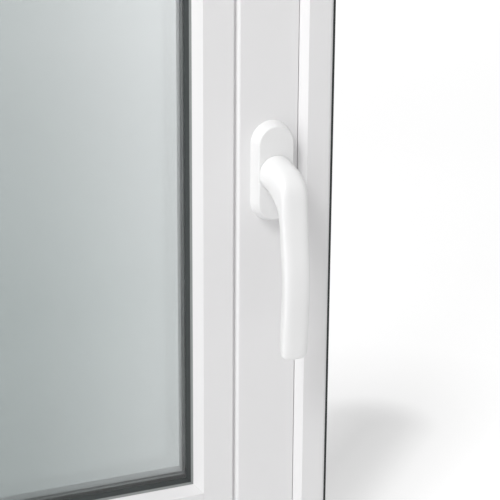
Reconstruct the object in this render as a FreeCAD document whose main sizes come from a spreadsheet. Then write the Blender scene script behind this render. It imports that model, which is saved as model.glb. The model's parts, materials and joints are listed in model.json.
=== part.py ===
import FreeCAD, Part
import math
import os
import re
import Sketcher

# Inward-opening window sash of hollow plastic profile, seen from the room at -Y.
# +X runs towards the handle stile, +Z up. The origin is the centre of the lower hinge bore,
# so the hinge axis is the Z axis.
#
# Profile sections are drawn as (depth, height): depth runs from the sash face away from the
# room, height from the sash's outer edge towards the glass. The handle's pieces are drawn
# about the handle axis, with the sash face at Y = 0.

SIZES = {
    # whole sash
    "sash_width": 540,
    "sash_height": 640,
    "sash_depth": 62,
    "handle_height": 320,
    "handle_setback": 42.5,
    # raised border round the room face
    "border_width": 18.3,
    "border_rise": 5.2,
    "border_bevel": 4.6,
    "border_radius": 3,
    "shadow_gap": 0.6,
    "shadow_depth": 4,
    # profile behind the border
    "rebate_line": 66.6,
    "face_radius": 2.2,
    "flange_width": 20,
    "flange_back": 12,
    "edge_depth": 48,
    "edge_step": 6,
    "wall": 2.8,
    "web": 1.6,
    # groove for the edge gear
    "gear_axis_setback": 13,
    "faceplate_width": 16,
    "faceplate_seat": 3,
    "rail_groove_width": 12,
    "rail_groove_depth": 9,
    # steel chamber and its reinforcement
    "steel_front": 36,
    "steel_chamber_depth": 18.4,
    "steel_gauge": 1.5,
    "steel_clearance": 0.4,
    "steel_cut_back": 70,
    # outer glazing leg
    "leg_height": 26,
    "leg_slope": 6,
    # glazing unit
    "glass_face": 14,
    "pane_thickness": 4,
    "pane_gap": 16,
    "glass_clearance": 5,
    "drain_length": 25,
    "drain_width": 5,
    "drain_drop": 14,
    "pane_arris": 0.5,
    "spacer_height": 6.5,
    "spacer_inset": 5,
    "block_length": 100,
    "outer_seal_height": 6,
    "outer_seal_thickness": 3,
    # glazing bead
    "bead_drop": 2,
    "bead_notch": 2.1,
    "bead_flat": 21.7,
    "bead_bevel_width": 5.2,
    "bead_bevel_depth": 6.5,
    "bead_back": 10,
    "bead_wall": 1.5,
    "bead_radius": 0.5,
    "bead_joint": 0.15,
    "clip_front": 5.9,
    "clip_width": 2.6,
    "clip_depth": 3,
    "clip_clearance": 0.1,
    # seals seen from the room
    "lip_width": 1,
    "lip_depth": 2.4,
    "seal_width": 2.4,
    "edge_seal_front": 3,
    "edge_seal_width": 3,
    "edge_seal_seat": 3.5,
    "edge_seal_reach": 3.4,
    # rosette
    "rosette_width": 30,
    "rosette_height": 69,
    "rosette_depth": 8.7,
    "rosette_inset": 2.35,
    "rosette_wall": 1.3,
    "rosette_edge": 1.3,
    "rosette_corner": 14.9,
    "base_depth": 6.2,
    "base_clearance": 0.2,
    "screw_spacing": 43,
    "screw_diameter": 5,
    "screw_length": 45,
    "screw_head": 9,
    "nose_diameter": 10,
    "nose_length": 8,
    # lever
    "lever_length": 121.5,
    "lever_reach": 48,
    "lever_width": 17.4,
    "collar_diameter": 16,
    "collar_clearance": 0.05,
    "spindle_size": 7,
    "spindle_fit": 0.05,
    "spindle_depth": 16,
    "pin_diameter": 2.5,
    "disc_diameter": 20,
    "disc_thickness": 2.2,
    "disc_notch": 1.2,
    "recess_depth": 4,
    "base_play": 0.4,
    "recess_clearance": 1.4,
    "spring_gauge": 0.5,
    "spring_clearance": 0.35,
    # edge gear
    "case_thickness": 12,
    "case_length": 110,
    "case_end_block": 9,
    "case_wall": 1.5,
    "case_fit": 0.25,
    "gear_module": 1.5,
    "gear_teeth": 15,
    "gear_width": 7,
    "gear_backlash": 0.12,
    "pinion_boss_diameter": 14,
    "faceplate_thickness": 2.6,
    "faceplate_end_gap": 42,
    "rail_thickness": 2.6,
    "rail_width": 11.4,
    "rail_float": 0.3,
    "rail_end_gap": 90,
    "rack_gaps": 11,
    "rack_end": 1,
    "slot_clearance": 0.4,
    "post_diameter": 5,
    "plate_screw_length": 25,
    "plate_screw_head": 7.4,
    "plate_screw_inset": 14,
    "cam_screw_step": 52,
    "cam_diameter": 9,
    "cam_neck": 6.6,
    "cam_height": 9,
    "cam_place": 118,
    "plate_screw_diameter": 4,
    # hinges
    "hinge_height": 100,
    "hinge_edge_gap": 10.5,
    "leaf_thickness": 3,
    "leaf_reach": 14.5,
    "leaf_length": 84,
    "barrel_diameter": 15,
    "barrel_length": 56,
    "bush_diameter": 11,
    "bush_collar": 1.5,
    "hinge_bore": 8.1,
    "hinge_screw_diameter": 4.2,
    "hinge_screw_length": 17,
}

# Lever grip: the front and the back line of its side view, and its section, at thirteen stations.
# The last three draw the section in and so round the end.
# Stand-offs are shares of the reach, heights shares of the length below the handle axis,
# widths shares of the lever's width, and the rounding a share of the section's smaller side.
GRIP_STATIONS = [
    # front (out, up), back (out, up), width, corner rounding
    ((0.188, 0.101), (0.188, -0.101), 1.41, 0.49),
    ((0.410, 0.083), (0.342, -0.113), 1.29, 0.46),
    ((0.630, 0.050), (0.490, -0.142), 1.16, 0.42),
    ((0.778, -0.035), (0.620, -0.182), 1.04, 0.37),
    ((0.845, -0.169), (0.686, -0.244), 1.00, 0.34),
    ((0.893, -0.312), (0.716, -0.335), 1.00, 0.33),
    ((0.942, -0.450), (0.760, -0.445), 1.00, 0.33),
    ((0.960, -0.590), (0.786, -0.580), 1.00, 0.33),
    ((0.942, -0.730), (0.766, -0.723), 0.99, 0.33),
    ((0.918, -0.867), (0.742, -0.860), 0.98, 0.33),
    ((0.908, -0.945), (0.735, -0.938), 0.97, 0.36),
    ((0.902, -0.985), (0.744, -0.978), 0.90, 0.40),
    ((0.880, -1.000), (0.765, -0.994), 0.67, 0.44),
]

doc = FreeCAD.newDocument("WindowSash")
sheet = doc.addObject("Spreadsheet::Sheet", "Sizes")
for row, (name, number) in enumerate(SIZES.items(), start=1):
    sheet.set("A%d" % row, name)
    sheet.set("B%d" % row, str(number))
    sheet.setAlias("B%d" % row, name)
doc.recompute()

NAME = re.compile(r"[a-z]+(?:_[a-z]+)+|wall|web")
PARTS = []


def cell(text):
    """A formula with every size name pointed at its cell."""
    return NAME.sub(lambda found: "Sizes." + found.group(0), text)


def value(text):
    """The number that a formula gives with the sheet's present sizes."""
    return float(sheet.evalExpression(cell(text)))


def part(label):
    """A new sub-part body; its label is its file's name."""
    body = doc.addObject("PartDesign::Body", label)
    body.Label = label
    PARTS.append(body)
    return body


def solid_part(label, shape_object):
    """Takes an object that is not a body as a sub-part."""
    shape_object.Label = label
    PARTS.append(shape_object)
    return shape_object


def place(body, x="0", y="0", z="0", axis=None, angle=0):
    """Puts a sub-part at a place given by formulas, turned about an axis first."""
    turn = FreeCAD.Rotation(axis or FreeCAD.Vector(0, 0, 1), angle)
    body.Placement = FreeCAD.Placement(FreeCAD.Vector(0, 0, 0), turn)
    for direction, text in (("x", x), ("y", y), ("z", z)):
        body.setExpression("Placement.Base." + direction, cell(text))


def rounded_rectangle(drawing, left, low, right, high, radius):
    """Draws four lines and four corner arcs; gives the constraints and their formulas."""
    first = drawing.GeometryCount
    sides = [((left, radius), (low, "0")), ((right, "-" + radius), (low, "0")),
             ((right, "0"), (low, radius)), ((right, "0"), (high, "-" + radius)),
             ((right, "-" + radius), (high, "0")), ((left, radius), (high, "0")),
             ((left, "0"), (high, "-" + radius)), ((left, "0"), (low, radius))]
    ends = [("%s + (%s)" % x, "%s + (%s)" % y) for x, y in sides]
    points = [FreeCAD.Vector(value(x), value(y), 0) for x, y in ends]
    lines = [Part.LineSegment(points[i], points[i + 1]) for i in (0, 2, 4, 6)]
    turn = value(radius)
    quarter = math.pi / 2
    centres = [(right, "-" + radius, low, radius), (right, "-" + radius, high, "-" + radius),
               (left, radius, high, "-" + radius), (left, radius, low, radius)]
    arcs = []
    for i, (x, dx, y, dy) in enumerate(centres):
        middle = FreeCAD.Vector(value("%s + (%s)" % (x, dx)), value("%s + (%s)" % (y, dy)), 0)
        circle = Part.Circle(middle, FreeCAD.Vector(0, 0, 1), turn)
        arcs.append(Part.ArcOfCircle(circle, (i - 1) * quarter, i * quarter))
    drawing.addGeometry(lines + arcs, False)
    limits = []
    for i, (x, y) in enumerate(ends):
        line, end = first + i // 2, 1 + i % 2
        limits.append((Sketcher.Constraint("DistanceX", -1, 1, line, end, points[i].x), x))
        limits.append((Sketcher.Constraint("DistanceY", -1, 1, line, end, points[i].y), y))
    for i, (x, dx, _, _) in enumerate(centres):
        arc, following = first + 4 + i, first + (i + 1) % 4
        limits.append((Sketcher.Constraint("Coincident", arc, 1, first + i, 2), None))
        limits.append((Sketcher.Constraint("Coincident", arc, 2, following, 1), None))
        text = "%s + (%s)" % (x, dx)
        limits.append((Sketcher.Constraint("DistanceX", -1, 1, arc, 3, value(text)), text))
    return limits


def sketch(body, name, plane, loops, offset="0"):
    """A sketch on an origin plane. A loop is a list of corners, ("circle", x, y, radius) or
    ("rounded", left, low, right, high, radius)."""
    drawing = body.newObject("Sketcher::SketchObject", name)
    support = next(item for item in body.Origin.OriginFeatures if item.Role == plane)
    drawing.AttachmentSupport = [(support, "")]
    drawing.MapMode = "FlatFace"
    drawing.setExpression("AttachmentOffset.Base.z", cell(offset))
    limits = []
    for loop in loops:
        first = drawing.GeometryCount
        if loop[0] == "circle":
            centre = FreeCAD.Vector(value(loop[1]), value(loop[2]), 0)
            drawing.addGeometry(Part.Circle(centre, FreeCAD.Vector(0, 0, 1), value(loop[3])), False)
            limits.append((Sketcher.Constraint("DistanceX", -1, 1, first, 3, centre.x), loop[1]))
            limits.append((Sketcher.Constraint("DistanceY", -1, 1, first, 3, centre.y), loop[2]))
            limits.append((Sketcher.Constraint("Radius", first, value(loop[3])), loop[3]))
            continue
        if loop[0] == "rounded":
            limits += rounded_rectangle(drawing, *loop[1:])
            continue
        corners = [FreeCAD.Vector(value(x), value(y), 0) for x, y in loop]
        count = len(corners)
        lines = [Part.LineSegment(corners[i], corners[(i + 1) % count]) for i in range(count)]
        drawing.addGeometry(lines, False)
        for i, (x, y) in enumerate(loop):
            joined = Sketcher.Constraint("Coincident", first + i, 2, first + (i + 1) % count, 1)
            limits.append((joined, None))
            across = Sketcher.Constraint("DistanceX", -1, 1, first + i, 1, corners[i].x)
            limits.append((across, x))
            upward = Sketcher.Constraint("DistanceY", -1, 1, first + i, 1, corners[i].y)
            limits.append((upward, y))
    numbers = drawing.addConstraint([limit for limit, text in limits])
    for number, (limit, text) in zip(numbers, limits):
        if text is not None:
            drawing.setExpression("Constraints[%d]" % number, cell(text))
    return drawing


def pad(body, profile, length, both_ways=False, backwards=False, taper=None):
    """Extrudes a sketch."""
    feature = body.newObject("PartDesign::Pad", profile.Name + "_pad")
    feature.Profile = profile
    feature.setExpression("Length", cell(length))
    feature.SideType = "Symmetric" if both_ways else "One side"
    feature.Reversed = backwards
    if taper:
        feature.setExpression("TaperAngle", cell(taper))
    doc.recompute()
    return feature


def pocket(body, profile, length=None, backwards=False):
    """Cuts a sketch out, through everything both ways when no length is given."""
    before = body.Shape.Volume
    feature = body.newObject("PartDesign::Pocket", profile.Name + "_pocket")
    feature.Profile = profile
    if length is None:
        feature.Type = "ThroughAll"
        feature.SideType = "Symmetric"
    else:
        feature.setExpression("Length", cell(length))
        feature.Reversed = backwards
    doc.recompute()
    if not body.Shape.Volume < before:
        raise ValueError(profile.Name + " cuts nothing from " + body.Label)
    return feature


def edges_along(shape, axis, places):
    """Names of the straight edges along an axis that pass through the given places."""
    others = [index for index in range(3) if index != axis]
    found = []
    for number, edge in enumerate(shape.Edges, start=1):
        ends = [vertex.Point for vertex in edge.Vertexes]
        if len(ends) != 2 or abs(ends[0][axis] - ends[1][axis]) < 0.5:
            continue
        for spot in places:
            if all(abs(end[other] - at) < 1e-4 for end in ends for other, at in zip(others, spot)):
                found.append("Edge%d" % number)
    return found


def round_edges(body, base, names, radius, label):
    """Rounds named edges of the last feature."""
    if not names:
        raise ValueError(label + " finds no edge on " + body.Label)
    feature = body.newObject("PartDesign::Fillet", label)
    feature.Base = (base, names)
    feature.setExpression("Radius", cell(radius))
    doc.recompute()
    return feature


def box_loop(left, low, right, high):
    return [(left, low), (right, low), (right, high), (left, high)]


# ---------------------------------------------------------------------------------------------
# Places that several pieces share, as formulas
# ---------------------------------------------------------------------------------------------
left_edge = "hinge_edge_gap"
right_edge = "(hinge_edge_gap + sash_width)"
bottom_edge = "(-hinge_height)"
top_edge = "(sash_height - hinge_height)"
middle_x = "(hinge_edge_gap + sash_width / 2)"
middle_z = "(sash_height / 2 - hinge_height)"
face_y = "(border_rise + leaf_thickness / 2)"
bevel_foot = "(border_width + border_bevel)"
gap_end = "(border_width + border_bevel + shadow_gap)"
gear_axis_y = "(flange_back + gear_axis_setback)"
bead_start = "(rebate_line + bead_notch)"
bead_crease = "(rebate_line + bead_notch + bead_flat)"
bead_tip = "(rebate_line + bead_notch + bead_flat + bead_bevel_width)"
bead_tip_depth = "(bead_drop + bead_bevel_depth)"
lip_depth_end = "(bead_drop + bead_bevel_depth + lip_depth)"
unit_back = "(glass_face + 2 * pane_thickness + pane_gap)"
leg_front = "(glass_face + 2 * pane_thickness + pane_gap + outer_seal_thickness)"
leg_end = "(rebate_line + leg_height)"
glass_edge = "(rebate_line + glass_clearance)"
steel_back = "(steel_front + steel_chamber_depth)"
gear_radius = "(gear_module * gear_teeth / 2)"

SIDES = {
    "bottom": (middle_x, bottom_edge, 0, "sash_width"),
    "top": (middle_x, top_edge, 180, "sash_width"),
    "left": (left_edge, middle_z, 90, "sash_height"),
    "right": (right_edge, middle_z, -90, "sash_height"),
}


def place_on_side(body, side):
    """Turns a member drawn for the bottom side onto its own side of the sash."""
    x, z, angle, _ = SIDES[side]
    place(body, x, face_y, z, FreeCAD.Vector(0, 1, 0), angle)


def mitre(body, name, span, start, reach):
    """Cuts both ends of a member at 45 degrees between two heights."""
    right = [("%s / 2 - (%s)" % (span, start), start), ("%s / 2 - (%s)" % (span, reach), reach),
             ("%s / 2 - (%s)" % (span, start), reach)]
    left = [("-(%s)" % x, z) for x, z in right]
    pocket(body, sketch(body, name, "XZ_Plane", [right, left]))


def frame_ring(label, outer, inner, front, thickness):
    """A flat rectangular ring parallel to the glass, between two heights from the sash edge."""
    ring = part(label)
    loops = []
    for height in (outer, inner):
        across = "(sash_width / 2 - (%s))" % height
        upward = "(sash_height / 2 - (%s))" % height
        loops.append(box_loop("-" + across, "-" + upward, across, upward))
    drawing = sketch(ring, label + "_outline", "XZ_Plane", loops, "-(%s)" % front)
    pad(ring, drawing, thickness, backwards=True)
    place(ring, middle_x, face_y, middle_z)
    return ring


def swept_ring(label, section):
    """A seal carried round the sash with square corners; its section is (depth, height)."""
    ring = part(label)
    low = "-sash_height / 2"
    profile = sketch(ring, label + "_section", "YZ_Plane",
                     [[(depth, "%s + (%s)" % (low, height)) for depth, height in section]])
    corners = [("0", low), ("sash_width / 2", low), ("sash_width / 2", "sash_height / 2"),
               ("-sash_width / 2", "sash_height / 2"), ("-sash_width / 2", low)]
    path = sketch(ring, label + "_path", "XZ_Plane", [corners])
    sweep = ring.newObject("PartDesign::AdditivePipe", label + "_sweep")
    sweep.Profile = profile
    sweep.Spine = (path, [])
    sweep.Transition = "Right corner"
    doc.recompute()
    place(ring, middle_x, face_y, middle_z)
    return ring


def group(label, solids):
    """Several separate solids that share a node, such as a set of equal screws."""
    together = doc.addObject("Part::Feature", label)
    together.Shape = Part.makeCompound(solids)
    return solid_part(label, together)


def countersunk_screw(foot, direction, length, diameter, head_diameter, head_height):
    """A countersunk screw whose head's flat face centre is at foot; it points along direction."""
    radius, head = diameter / 2, head_diameter / 2
    tip = diameter / 3
    points = [(0, 0), (head, 0), (radius, head_height), (radius, length - tip), (radius / 3, length),
              (0, length)]
    wire = Part.makePolygon([FreeCAD.Vector(r, 0, z) for r, z in points + points[:1]])
    screw = Part.Face(wire).revolve(FreeCAD.Vector(0, 0, 0), FreeCAD.Vector(0, 0, 1), 360)
    screw.Placement = FreeCAD.Placement(foot, FreeCAD.Rotation(FreeCAD.Vector(0, 0, 1), direction))
    return screw


# ---------------------------------------------------------------------------------------------
# Sash frame: four mitred members of one hollow profile
# ---------------------------------------------------------------------------------------------
def profile_loops():
    """The sash profile's outline and its chambers, as (depth, height)."""
    seat_front = "(%s - faceplate_width / 2)" % gear_axis_y
    seat_back = "(%s + faceplate_width / 2)" % gear_axis_y
    groove_front = "(%s - rail_groove_width / 2)" % gear_axis_y
    groove_back = "(%s + rail_groove_width / 2)" % gear_axis_y
    seat_floor = "(flange_width + faceplate_seat)"
    groove_floor = "(flange_width + rail_groove_depth)"
    clip_back = "(clip_front + clip_width)"
    outline = [
        ("-border_rise", "0"), ("-border_rise", "border_width"), ("0", bevel_foot),
        ("shadow_depth", bevel_foot), ("shadow_depth", gap_end), ("0", gap_end),
        ("0", "rebate_line"),
        ("clip_front", "rebate_line"), ("clip_front", "rebate_line - clip_depth"),
        (clip_back, "rebate_line - clip_depth"), (clip_back, "rebate_line"),
        (leg_front, "rebate_line"), (leg_front, leg_end), (leg_front + " + wall", leg_end),
        ("sash_depth", leg_end + " - leg_slope"),
        ("sash_depth", "flange_width + edge_step"),
        ("edge_depth + web", "flange_width + edge_step"), ("edge_depth", "flange_width"),
        (seat_back, "flange_width"), (seat_back, seat_floor), (groove_back, seat_floor),
        (groove_back, groove_floor), (groove_front, groove_floor), (groove_front, seat_floor),
        (seat_front, seat_floor), (seat_front, "flange_width"), ("flange_back", "flange_width"),
        ("flange_back", "0"),
        ("edge_seal_front + edge_seal_width", "0"),
        ("edge_seal_front + edge_seal_width", "edge_seal_seat"),
        ("edge_seal_front", "edge_seal_seat"), ("edge_seal_front", "0"),
    ]
    border_floor = "(edge_seal_seat + wall)"
    border_roof = "(%s - wall)" % bevel_foot
    border_chamber = [
        ("wall - border_rise", border_floor), ("wall - border_rise", "border_width - 0.4 * wall"),
        ("1.4 * wall - border_rise + %s - border_width" % border_roof, border_roof),
        ("flange_back - wall", border_roof), ("flange_back - wall", border_floor),
    ]
    face_roof = "(rebate_line - clip_depth - wall)"
    face_back = "(%s - wall - web)" % groove_front
    face_chamber = box_loop("wall", gap_end + " + wall", face_back, face_roof)
    gear_chamber = box_loop(face_back + " + web", groove_floor + " + wall",
                            "steel_front - web", "rebate_line - wall")
    steel_floor = "(flange_width + edge_step + wall)"
    steel_chamber = box_loop("steel_front", steel_floor, steel_back, "rebate_line - wall")
    edge_chamber = box_loop("steel_front", "flange_width + wall", "edge_depth - wall",
                            steel_floor + " - web")
    back_chamber = box_loop(steel_back + " + web", steel_floor, "sash_depth - wall",
                            "rebate_line - wall")
    leg_roof = "(%s - wall)" % leg_end
    leg_chamber = [
        (leg_front + " + wall", "rebate_line - wall + web"), ("sash_depth - wall",
                                                              "rebate_line - wall + web"),
        ("sash_depth - wall", leg_roof + " - leg_slope"), (leg_front + " + 1.6 * wall", leg_roof),
        (leg_front + " + wall", leg_roof),
    ]
    return [outline, border_chamber, face_chamber, gear_chamber, steel_chamber, edge_chamber,
            back_chamber, leg_chamber]


def sash_member(label, side):
    """One mitred length of the sash profile."""
    member = part(label)
    span = SIDES[side][3]
    section = sketch(member, label + "_section", "YZ_Plane", profile_loops())
    length = pad(member, section, span, both_ways=True)
    outer = edges_along(length.Shape, 0, [(value("-border_rise"), 0)])
    length = round_edges(member, length, outer, "border_radius", label + "_border_round")
    inner = edges_along(length.Shape, 0, [(0, value("rebate_line"))])
    round_edges(member, length, inner, "face_radius", label + "_face_round")
    mitre(member, label + "_mitre", span, "0", leg_end + " + 1")
    place_on_side(member, side)
    return member


bottom_rail = sash_member("bottom_rail", "bottom")
top_rail = sash_member("top_rail", "top")
hinge_stile = sash_member("hinge_stile", "left")
lock_stile = sash_member("lock_stile", "right")

# Drain slots in the bottom rail: out of the glazing rebate, and out of the back face.
drain_places = ["-sash_width / 4", "sash_width / 4"]
back_slots = [("rounded", x + " - drain_length / 2", "rebate_line - drain_drop", x + " + drain_length / 2",
               "rebate_line - drain_drop + drain_width", "0.45 * drain_width") for x in drain_places]
slots = sketch(bottom_rail, "drain_slots", "XZ_Plane", back_slots, "-sash_depth")
pocket(bottom_rail, slots, "1.5 * wall", backwards=True)

# Lock stile: spindle hole, two nose holes, the pocket for the gear case and screw holes. The
# member lies along X in its own frame, with the handle axis at (along, handle_setback).
along = "(handle_height - sash_height / 2)"
reach_in = "(%s + rail_groove_width / 2 - case_thickness - web)" % gear_axis_y
noses = [("circle", "%s + %s" % (along, shift), "handle_setback", "nose_diameter / 2 + 0.1")
         for shift in ("screw_spacing / 2", "-screw_spacing / 2")]
spindle_way = ("circle", along, "handle_setback", "spindle_size")
face_holes = sketch(lock_stile, "face_holes", "XZ_Plane", noses + [spindle_way])
pocket(lock_stile, face_holes, reach_in)
handle_pilots = [("circle", "%s + %s" % (along, shift), "handle_setback", "screw_diameter / 2 + 0.05")
                 for shift in ("screw_spacing / 2", "-screw_spacing / 2")]
pocket(lock_stile, sketch(lock_stile, "handle_screw_pilots", "XZ_Plane", handle_pilots), "screw_length")
case_floor = "(handle_setback + %s + gear_module + case_wall + 2 * case_fit)" % gear_radius
case_way = box_loop(along + " - case_length / 2 - case_fit", "flange_width + rail_groove_depth - 1",
                    along + " + case_length / 2 + case_fit", case_floor)
case_pocket = sketch(lock_stile, "case_way", "XZ_Plane", [case_way],
                     "-(%s - case_thickness / 2 - case_fit)" % gear_axis_y)
pocket(lock_stile, case_pocket, "case_thickness + 2 * case_fit")

# ---------------------------------------------------------------------------------------------
# Steel reinforcements: a folded channel in each member's main chamber
# ---------------------------------------------------------------------------------------------
def reinforcement(label, side):
    bar = part(label)
    front, back = "(steel_front + steel_clearance)", "(%s - steel_clearance)" % steel_back
    low = "(flange_width + edge_step + wall + steel_clearance)"
    high = "(rebate_line - wall - steel_clearance)"
    channel = [(front, low), (back, low), (back, low + " + steel_gauge"),
               (front + " + steel_gauge", low + " + steel_gauge"),
               (front + " + steel_gauge", high + " - steel_gauge"), (back, high + " - steel_gauge"),
               (back, high), (front, high)]
    section = sketch(bar, label + "_section", "YZ_Plane", [channel])
    pad(bar, section, SIDES[side][3] + " - 2 * steel_cut_back", both_ways=True)
    place_on_side(bar, side)
    return bar


for side, member in (("bottom", "bottom_rail"), ("top", "top_rail"), ("left", "hinge_stile")):
    reinforcement(member + "_steel", side)
lock_steel = reinforcement("lock_stile_steel", "right")
pocket(lock_steel, sketch(lock_steel, "steel_screw_pilots", "XZ_Plane", handle_pilots), "screw_length")


# ---------------------------------------------------------------------------------------------
# Glazing beads: stile beads run through, rail beads butt between them, bevels are mitred
# ---------------------------------------------------------------------------------------------
def bead_loops():
    nose_front = "(clip_front + clip_clearance)"
    nose_back = "(clip_front + clip_width - clip_clearance)"
    nose_floor = "(rebate_line - clip_depth + clip_clearance)"
    notch_depth = "(bead_drop + 2.5 * bead_radius + 1.25)"
    outline = [
        (notch_depth, "rebate_line"), (notch_depth, bead_start), ("bead_drop", bead_start),
        ("bead_drop", bead_crease), (bead_tip_depth, bead_tip),
        (bead_tip_depth + " + bead_radius", bead_tip), ("bead_back", bead_tip + " - bead_wall"),
        ("bead_back", "rebate_line"), (nose_back, "rebate_line"), (nose_back, nose_floor),
        (nose_front, nose_floor), (nose_front, "rebate_line"),
    ]
    roof = "(%s - 1.6 * bead_wall)" % bead_tip
    chamber = [("bead_drop + bead_wall", bead_start + " + bead_wall"),
               ("bead_drop + bead_wall", bead_crease + " - 0.5 * bead_wall"),
               ("bead_back - bead_wall - 0.5", roof), ("bead_back - bead_wall", roof),
               ("bead_back - bead_wall", bead_start + " + bead_wall")]
    return [outline, chamber]


def bead(label, side, runs_through):
    strip = part(label)
    span = SIDES[side][3]
    section = sketch(strip, label + "_section", "YZ_Plane", bead_loops())
    end = "rebate_line" if runs_through else "(%s + bead_joint)" % bead_crease
    length = pad(strip, section, "%s - 2 * %s" % (span, end), both_ways=True)
    corner = edges_along(length.Shape, 0, [(value("bead_drop"), value(bead_start))])
    round_edges(strip, length, corner, "bead_radius", label + "_round")
    reach = bead_tip + " + 1"
    half = span + " / 2"
    if runs_through:
        right = [("%s - rebate_line" % half, bead_crease), ("%s - %s" % (half, bead_crease), bead_crease),
                 ("%s - (%s)" % (half, reach), reach), ("%s - rebate_line" % half, reach)]
    else:
        low, high = bead_crease + " + bead_joint", reach
        right = [("%s - (%s)" % (half, low), low), ("%s - (%s) - bead_joint" % (half, high), high),
                 ("%s - (%s)" % (half, low), high)]
    left = [("-(%s)" % x, z) for x, z in right]
    pocket(strip, sketch(strip, label + "_mitre", "XZ_Plane", [right, left]))
    place_on_side(strip, side)


bead("bead_bottom", "bottom", False)
bead("bead_top", "top", False)
bead("bead_left", "left", True)
bead("bead_right", "right", True)

# ---------------------------------------------------------------------------------------------
# Seals and the glazing unit
# ---------------------------------------------------------------------------------------------
swept_ring("bead_lip", [
    (bead_tip_depth + " + bead_radius", bead_tip), (lip_depth_end, bead_tip + " + lip_width"),
    (lip_depth_end + " + 0.3", bead_tip + " + lip_width - 0.9"),
    ("bead_back + 0.1", bead_tip + " - bead_wall + 0.1"),
])
swept_ring("glazing_seal_inner", [
    ("bead_back + 0.1", bead_tip + " - 4 * bead_wall"), ("bead_back + 0.1", bead_tip + " - bead_wall"),
    (lip_depth_end + " + 0.35", bead_tip + " + lip_width - 0.9"),
    (lip_depth_end + " + 0.1", bead_tip + " + lip_width + 0.1"),
    ("glass_face - 0.9", bead_tip + " + lip_width + seal_width - 0.5"),
    ("glass_face", bead_tip + " + lip_width + seal_width"),
    ("glass_face", bead_tip + " - 2 * bead_wall"),
])
swept_ring("edge_seal", [
    ("edge_seal_front + edge_seal_width", "edge_seal_seat"), ("edge_seal_front", "edge_seal_seat"),
    ("edge_seal_front", "-0.3"), ("0.5 * edge_seal_front", "-1.1"), ("0.15 * edge_seal_front",
                                                                    "-edge_seal_reach"),
    ("0.6 * edge_seal_front", "-edge_seal_reach"), ("edge_seal_front + 0.6 * edge_seal_width", "-1.2"),
    ("edge_seal_front + edge_seal_width", "0"),
])
frame_ring("glazing_seal_outer", leg_end + " - 1 - outer_seal_height", leg_end + " - 1",
           unit_back, "outer_seal_thickness")


def pane(label, front):
    """A sheet of float glass with arrissed edges."""
    sheet_body = part(label)
    across, upward = "(sash_width / 2 - %s)" % glass_edge, "(sash_height / 2 - %s)" % glass_edge
    outline = sketch(sheet_body, label + "_outline", "XZ_Plane",
                     [box_loop("-" + across, "-" + upward, across, upward)], "-(%s)" % front)
    glass = pad(sheet_body, outline, "pane_thickness", backwards=True)
    arris = sheet_body.newObject("PartDesign::Chamfer", label + "_arris")
    arris.Base = (glass, [])
    arris.UseAllEdges = True
    arris.setExpression("Size", cell("pane_arris"))
    doc.recompute()
    place(sheet_body, middle_x, face_y, middle_z)


pane("pane_inner", "glass_face")
pane("pane_outer", "glass_face + pane_thickness + pane_gap")
frame_ring("spacer_frame", glass_edge + " + spacer_inset", glass_edge + " + spacer_inset + spacer_height",
           "glass_face + pane_thickness", "pane_gap")
frame_ring("edge_sealant", glass_edge + " + pane_arris", glass_edge + " + spacer_inset",
           "glass_face + pane_thickness", "pane_gap")


def setting_blocks():
    """Plastic packers between the glass edge and the rebate floor, two on each side."""
    thick, long, deep = value("glass_clearance"), value("block_length"), value("2 * pane_thickness + pane_gap")
    y = value(face_y + " + glass_face")
    blocks = []
    for side in SIDES:
        span = value(SIDES[side][3])
        horizontal = side in ("bottom", "top")
        near = value("rebate_line") if side in ("bottom", "left") else value("-rebate_line - glass_clearance")
        for share in (0.27, 0.73):
            start = share * span - long / 2
            if horizontal:
                corner = (value(left_edge) + start, y, value(SIDES[side][1]) + near)
                block = Part.makeBox(long, deep, thick, FreeCAD.Vector(*corner))
            else:
                corner = (value(SIDES[side][0]) + near, y, value(bottom_edge) + start)
                block = Part.makeBox(thick, deep, long, FreeCAD.Vector(*corner))
            blocks.append(block)
    group("setting_blocks", blocks)


setting_blocks()

# ---------------------------------------------------------------------------------------------
# Handle: drawn about its own axis, out of the sash face towards -Y
# ---------------------------------------------------------------------------------------------
handle_x = "(hinge_edge_gap + sash_width - handle_setback)"
handle_z = "(handle_height - hinge_height)"


def place_at_handle(body):
    place(body, handle_x, face_y, handle_z)


def drafted_plate(body, name, shrink, depth, feature="PartDesign::AdditiveLoft"):
    """Rosette outline, smaller by shrink all round, lofted out from the sash face with draft."""
    drawings = []
    for stage, out in (("foot", "0"), ("front", depth)):
        inset = "(%s + rosette_inset * (%s) / rosette_depth)" % (shrink, out)
        wide, tall = "(rosette_width / 2 - %s)" % inset, "(rosette_height / 2 - %s)" % inset
        loop = ("rounded", "-" + wide, "-" + tall, wide, tall, "(rosette_corner - %s)" % inset)
        drawings.append(sketch(body, name + "_" + stage, "XZ_Plane", [loop], out))
    loft = body.newObject(feature, name)
    loft.Profile = drawings[0]
    loft.Sections = drawings[1:]
    loft.Ruled = True
    doc.recompute()
    return loft


cover = part("rosette_cover")
shell = drafted_plate(cover, "cover_form", "0", "rosette_depth")
rim = min(shell.Shape.Faces, key=lambda face: face.CenterOfMass.y)
rim_edges = ["Edge%d" % number for number, edge in enumerate(shell.Shape.Edges, start=1)
             if any(edge.isSame(other) for other in rim.Edges)]
round_edges(cover, shell, rim_edges, "rosette_edge", "cover_edge")
drafted_plate(cover, "cover_hollow", "rosette_wall", "rosette_depth - rosette_wall",
              "PartDesign::SubtractiveLoft")
pocket(cover, sketch(cover, "collar_hole", "XZ_Plane", [("circle", "0", "0", "collar_diameter / 2 + 0.3")]))
place_at_handle(cover)

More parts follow.
